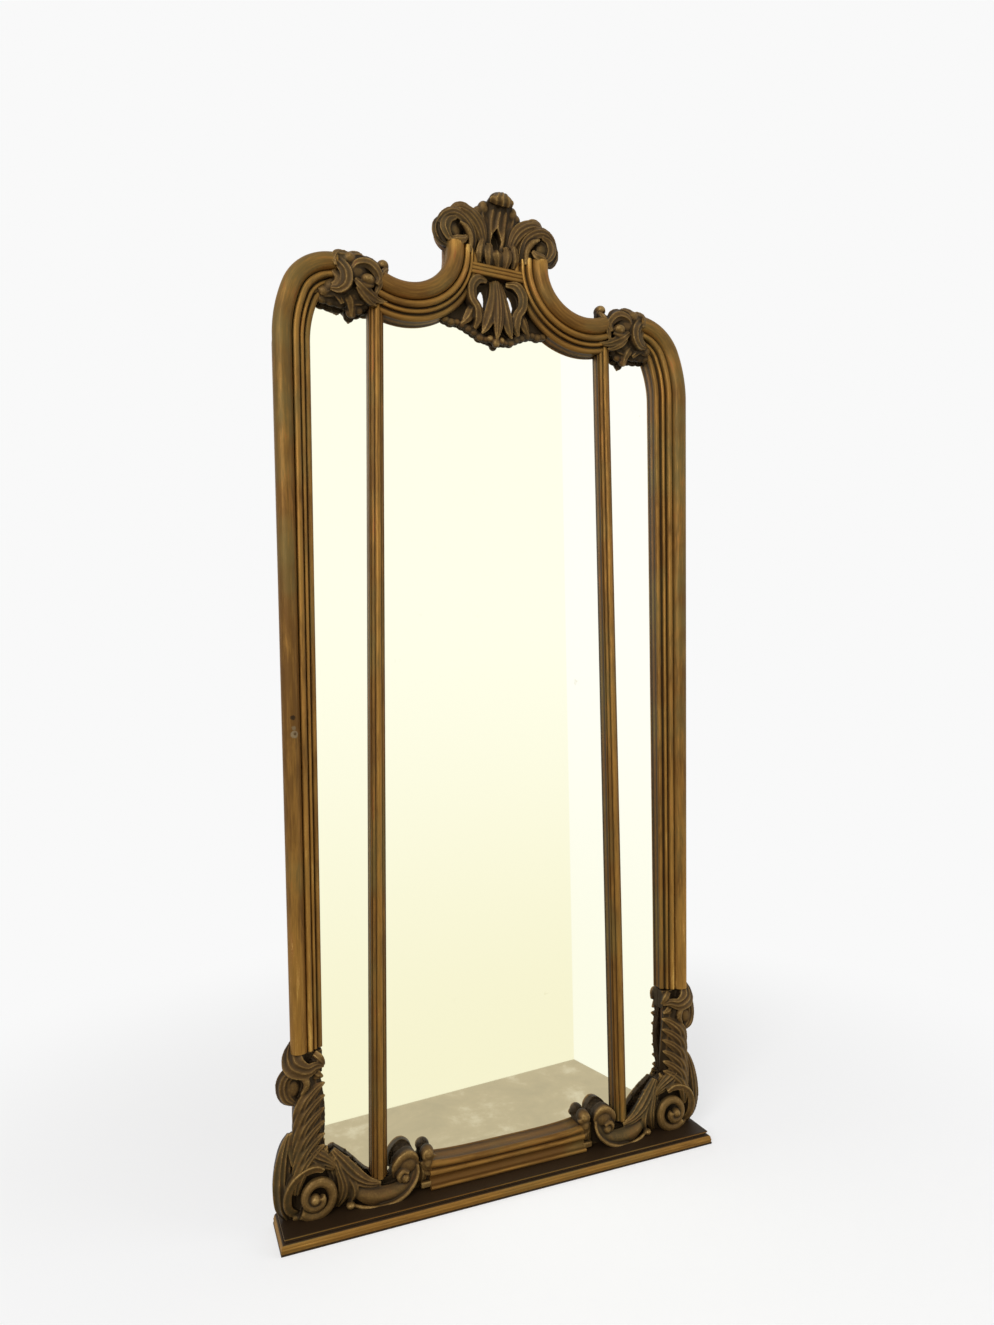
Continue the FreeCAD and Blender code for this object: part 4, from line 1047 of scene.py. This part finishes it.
def crest_volute():
    """The reeds of the C-scroll run up, roll over and end in a fluted leaf ball."""
    return carve([
        leaf([(55, 22, 1850, 20), (52, 31, 1876, 24), (60, 38, 1901, 26), (80, 44, 1917, 26),
              (102, 46, 1921, 24), (122, 42, 1912, 20), (134, 34, 1896, 14)], face=(-0.5, 1, 0.2),
             flutes=3, groove=3.0, bow=0.4, thick=26, steps=34),
        leaf([(64, 32, 1848, 10), (64, 41, 1874, 13), (75, 46, 1892, 12), (90, 45, 1901, 4)],
             flutes=1, groove=1.2, bow=0.9, thick=20),
        dome(105, 12, 1892, 31, 25, 30),
        leaf([(98, 44, 1912, 12), (114, 46, 1904, 20), (121, 45, 1886, 22), (112, 43, 1866, 14),
              (98, 40, 1857, 6)], face=(0.2, 1, 0.1), groove=4.2, bow=0.5, thick=20),
        leaf([(122, 34, 1914, 10), (135, 32, 1900, 18), (137, 30, 1880, 18), (127, 28, 1862, 14),
              (112, 32, 1853, 6)], face=(0.7, 1, 0), groove=3.4, bow=0.4, thick=20),
        leaf([(72, 42, 1876, 8), (82, 47, 1866, 16), (97, 48, 1862, 18), (112, 40, 1862, 12)],
             face=(0, 1, -0.3), groove=2.4, bow=0.5, thick=22),
        board([(50, 1858), (50, 1890), (66, 1910), (100, 1910), (112, 1864)], 0, 20),
    ])


def crest_cartouche():
    """The fluted plume with its forward hood, the leaves beside it and the dark drop."""
    sides = []
    for sign in (1, -1):
        sides += [
            leaf(turned(sign, [(22, 20, 1878, 14), (29, 30, 1910, 20), (34, 33, 1936, 18),
                               (34, 30, 1952, 12)]), groove=3.0, thick=20),
            dome(sign * 31, 24, 1953, 13, 14, 15), dome(sign * 42, 20, 1944, 12, 12, 13),
            dome(sign * 50, 18, 1931, 12, 12, 14),
            leaf(turned(sign, [(28, 18, 1862, 12), (35, 32, 1888, 26), (48, 40, 1910, 36),
                               (70, 42, 1927, 32), (92, 38, 1933, 20), (108, 28, 1928, 6)]),
                 flutes=4, groove=3.4, bow=0.4, thick=26),
            leaf(turned(sign, [(54, 30, 1924, 12), (74, 40, 1939, 16), (94, 36, 1942, 12),
                               (106, 28, 1936, 4)]), groove=2.4, thick=16),
            leaf(turned(sign, [(38, 20, 1838, 12), (39, 31, 1856, 19), (35, 33, 1880, 13),
                               (31, 24, 1896, 4)]), groove=2.4, bow=0.6, thick=22),
            leaf(turned(sign, [(18, 30, 1880, 12), (21, 35, 1862, 19), (20, 32, 1846, 18),
                               (18, 22, 1833, 10)]), bow=0.5, thick=26),
        ]
    hole = board([(-3, 1914), (5, 1902), (9, 1889), (6, 1876), (-3, 1870), (-12, 1876),
                  (-15, 1889), (-11, 1902)], 8, 90)
    return carve([
        board([(-40, 1838), (-44, 1880), (-58, 1918), (-90, 1924), (-50, 1944), (-30, 1956),
               (0, 1960), (30, 1956), (50, 1944), (90, 1924), (58, 1918), (44, 1880),
               (40, 1838)], 0, 14),
        leaf([(0, 18, 1862, 38), (0, 30, 1892, 54), (0, 34, 1922, 66), (0, 42, 1944, 62),
              (0, 50, 1958, 54), (0, 56, 1970, 40)], flutes=4, groove=5.0, bow=0.3, thick=30,
             steps=32),
        dome(0, 42, 1966, 25, 16, 16),
        leaf([(0, 52, 1947, 52), (0, 61, 1955, 54), (0, 64, 1966, 46), (0, 57, 1977, 32),
              (0, 44, 1983, 18)], flutes=4, groove=3.4, thick=20),
        *sides,
        leaf([(-1, 24, 1872, 44), (0, 31, 1860, 64), (1, 27, 1846, 60), (2, 18, 1834, 44)],
             flutes=5, groove=3.0, bow=0.3, thick=22, reeded=True),
        leaf([(-3, 30, 1868, 12), (-3, 36, 1858, 20), (0, 32, 1845, 18), (3, 22, 1833, 10)],
             groove=2.4, bow=0.5),
    ], holes=[hole])


def crest_pendant():
    """The palmette under the crossbar: ribs, two pierced eyes and a scalloped fringe."""
    scallops = ((58, 1701, 9), (72, 1706, 8), (85, 1709, 7), (98, 1708, 8), (110, 1711, 7),
                (121, 1717, 6), (46, 1694, 8), (33, 1687, 9), (21, 1684, 7))
    sides, eyes = [], []
    for sign in (1, -1):
        sides += [
            leaf(turned(sign, [(8, 16, 1806, 12), (11, 28, 1772, 18), (18, 31, 1730, 26),
                               (27, 25, 1702, 18), (34, 18, 1688, 4)]), groove=4.0, bow=0.4),
            leaf(turned(sign, [(20, 18, 1804, 10), (40, 26, 1802, 20), (54, 29, 1784, 21),
                               (54, 30, 1758, 20), (42, 30, 1738, 20), (38, 25, 1714, 22),
                               (48, 16, 1696, 8)]), groove=3.4, bow=0.4),
            leaf(turned(sign, [(54, 18, 1750, 12), (58, 24, 1732, 22), (68, 20, 1714, 18),
                               (78, 12, 1704, 5)]), groove=3.2, bow=0.5, thick=18),
            *[dome(sign * x, 4, z, r + 3, 7, r) for x, z, r in scallops],
        ]
        eyes.append(board(turned(sign, [(31, 1786), (37, 1776), (41, 1762), (38, 1750),
                                        (31, 1747), (26, 1753), (25, 1766), (27, 1779)]), -12, 80))
    return carve([
        # the ground board lies low over the seat, so its relief gives it painted shade
        board([(-52, 1812), (-64, 1780), (-92, 1740), (-124, 1720), (-112, 1710), (-60, 1704),
               (-30, 1688), (0, 1678), (30, 1688), (60, 1704), (112, 1710), (124, 1720),
               (92, 1740), (64, 1780), (52, 1812)], 1, 5),
        leaf([(0, 20, 1808, 14), (0, 31, 1770, 18), (0, 33, 1724, 22), (0, 27, 1696, 16),
              (0, 16, 1678, 4)], flutes=3, groove=3.4, bow=0.4),
        *sides,
        dome(0, 8, 1678, 9, 9, 10),
        dome(12, 7, 1685, 9, 8, 8),
        dome(-12, 7, 1685, 9, 8, 8),
    ], holes=eyes)


def shoulder_ornament():
    """The leaf bunch that ties the shoulder to the C-scroll, round a small volute."""
    lobes = ((374, 14, 1715, 11, 8, 9), (361, 12, 1704, 13, 8, 11), (345, 12, 1702, 14, 8, 11),
             (329, 12, 1701, 14, 8, 11), (306, 10, 1687, 11, 8, 12), (294, 10, 1695, 13, 8, 11),
             (280, 10, 1704, 10, 8, 9), (277, 22, 1765, 15, 16, 13), (296, 24, 1773, 17, 18, 15),
             (316, 30, 1777, 18, 20, 15), (334, 26, 1773, 15, 18, 14), (304, 14, 1720, 24, 20, 22),
             (304, 22, 1756, 34, 24, 24), (340, 22, 1722, 22, 16, 18), (356, 18, 1714, 16, 12, 12))
    return carve([
        board([(286, 1698), (264, 1722), (250, 1754), (262, 1774), (334, 1780), (352, 1724),
               (374, 1720), (366, 1704), (330, 1700), (306, 1694)], 0, 24),
        *[dome(*lobe) for lobe in lobes],
        leaf([(262, 36, 1720, 8), (257, 44, 1738, 15), (263, 50, 1756, 19), (280, 52, 1768, 20),
              (300, 51, 1765, 16), (311, 46, 1754, 7)], groove=3.0, bow=0.5, thick=26),
        dome(280, 40, 1741, 14, 14, 11),
        leaf([(266, 40, 1734, 5), (278, 46, 1729, 8), (292, 46, 1731, 8), (299, 42, 1740, 4)],
             flutes=1, groove=0.0, bow=0.8, thick=18),
        leaf([(330, 36, 1720, 16), (344, 36, 1712, 20), (358, 28, 1708, 16), (370, 20, 1706, 7)],
             groove=3.0, bow=0.5, thick=20),
        leaf([(306, 46, 1738, 9), (292, 48, 1727, 18), (274, 42, 1717, 18), (254, 33, 1710, 12),
              (236, 27, 1713, 3)], groove=3.2, bow=0.4, thick=30),
        leaf([(300, 44, 1724, 8), (286, 42, 1712, 15), (270, 34, 1703, 12), (258, 28, 1700, 3)],
             bow=0.4, thick=26),
        leaf([(258, 40, 1752, 10), (262, 44, 1772, 17), (278, 42, 1784, 16), (298, 36, 1790, 5)],
             face=(-0.2, 1, 0.4), bow=0.4, thick=26),
        leaf([(353, 40, 1774, 12), (338, 46, 1766, 20), (325, 51, 1748, 24), (325, 51, 1726, 24),
              (337, 46, 1713, 18), (352, 38, 1714, 8)], face=(0.2, 1, 0), groove=4.0, bow=0.3,
             thick=30),
        leaf([(346, 38, 1752, 10), (337, 44, 1738, 15), (341, 44, 1726, 12), (350, 40, 1722, 4)],
             flutes=1, groove=2.4, bow=0.6),
        leaf([(308, 44, 1776, 14), (328, 48, 1780, 18), (350, 40, 1778, 6)], groove=2.8, thick=28),
        leaf([(326, 46, 1766, 14), (312, 47, 1780, 20), (296, 42, 1789, 15), (282, 36, 1788, 4)],
             groove=2.8, thick=28),
        leaf([(328, 44, 1788, 8), (338, 46, 1782, 15), (343, 48, 1770, 15), (340, 46, 1756, 6)],
             groove=2.4, bow=0.5, thick=30),
        leaf([(237, 32, 1780, 8), (245, 42, 1767, 14), (254, 47, 1750, 15), (262, 46, 1734, 8)],
             groove=2.4, bow=0.5, thick=26),
        leaf([(320, 34, 1716, 18), (308, 32, 1702, 22), (304, 24, 1688, 16), (305, 16, 1674, 5)],
             groove=3.0, bow=0.5, thick=22),
        leaf([(346, 34, 1716, 14), (332, 34, 1706, 18), (322, 26, 1694, 10)], groove=2.8,
             thick=22),
        dome(245, 18, 1786, 12.5, 16, 12),
        leaf([(254, 16, 1762, 22), (248, 25, 1771, 22), (243, 30, 1781, 18), (240, 28, 1791, 10)],
             groove=2.0, bow=0.5, thick=18),
    ])


for make, name, node in ((base_volute, "base_volute_carving", "base_volute"),
                         (stem_leaf, "stem_leaf_carving", "stem_leaf"),
                         (base_leaf_scroll, "base_leaf_carving", "base_leaf_scroll"),
                         (crest_volute, "crest_volute_carving", "crest_volute"),
                         (shoulder_ornament, "shoulder_carving", "shoulder_ornament")):
    settle_pair(CARVED_FINISH, make(), name, node)
for make, name, node in ((crest_cartouche, "crest_cartouche_carving", "crest_cartouche"),
                         (crest_pendant, "crest_pendant_carving", "crest_pendant"),
                         (rail_ends, "bottom_rail_rolls", "bottom_rail_moulding")):
    settle(CARVED_FINISH, make(), name, node)

# ---- CAD nodes
# the finish of a node that stays, by a word in its name; the others have a piece in their place
STAYING = (("nails", IRON), ("hanging", IRON), ("mirror_plate", SILVER),
           ("back_shoulder", PINE_UP), ("back_stile", PINE_UP), ("muntin", PINE_UP),
           ("backboard", PINE_UP), ("glazing", PINE_UP), ("pegs", PINE_ACROSS),
           ("back_rail", PINE_ACROSS), ("crest_board", PINE_ACROSS))

for node, obj in frame["nodes"].items():
    obj.data.materials.clear()
    obj.data.materials.append(next((m for word, m in STAYING if word in node), GILT_CARVED))
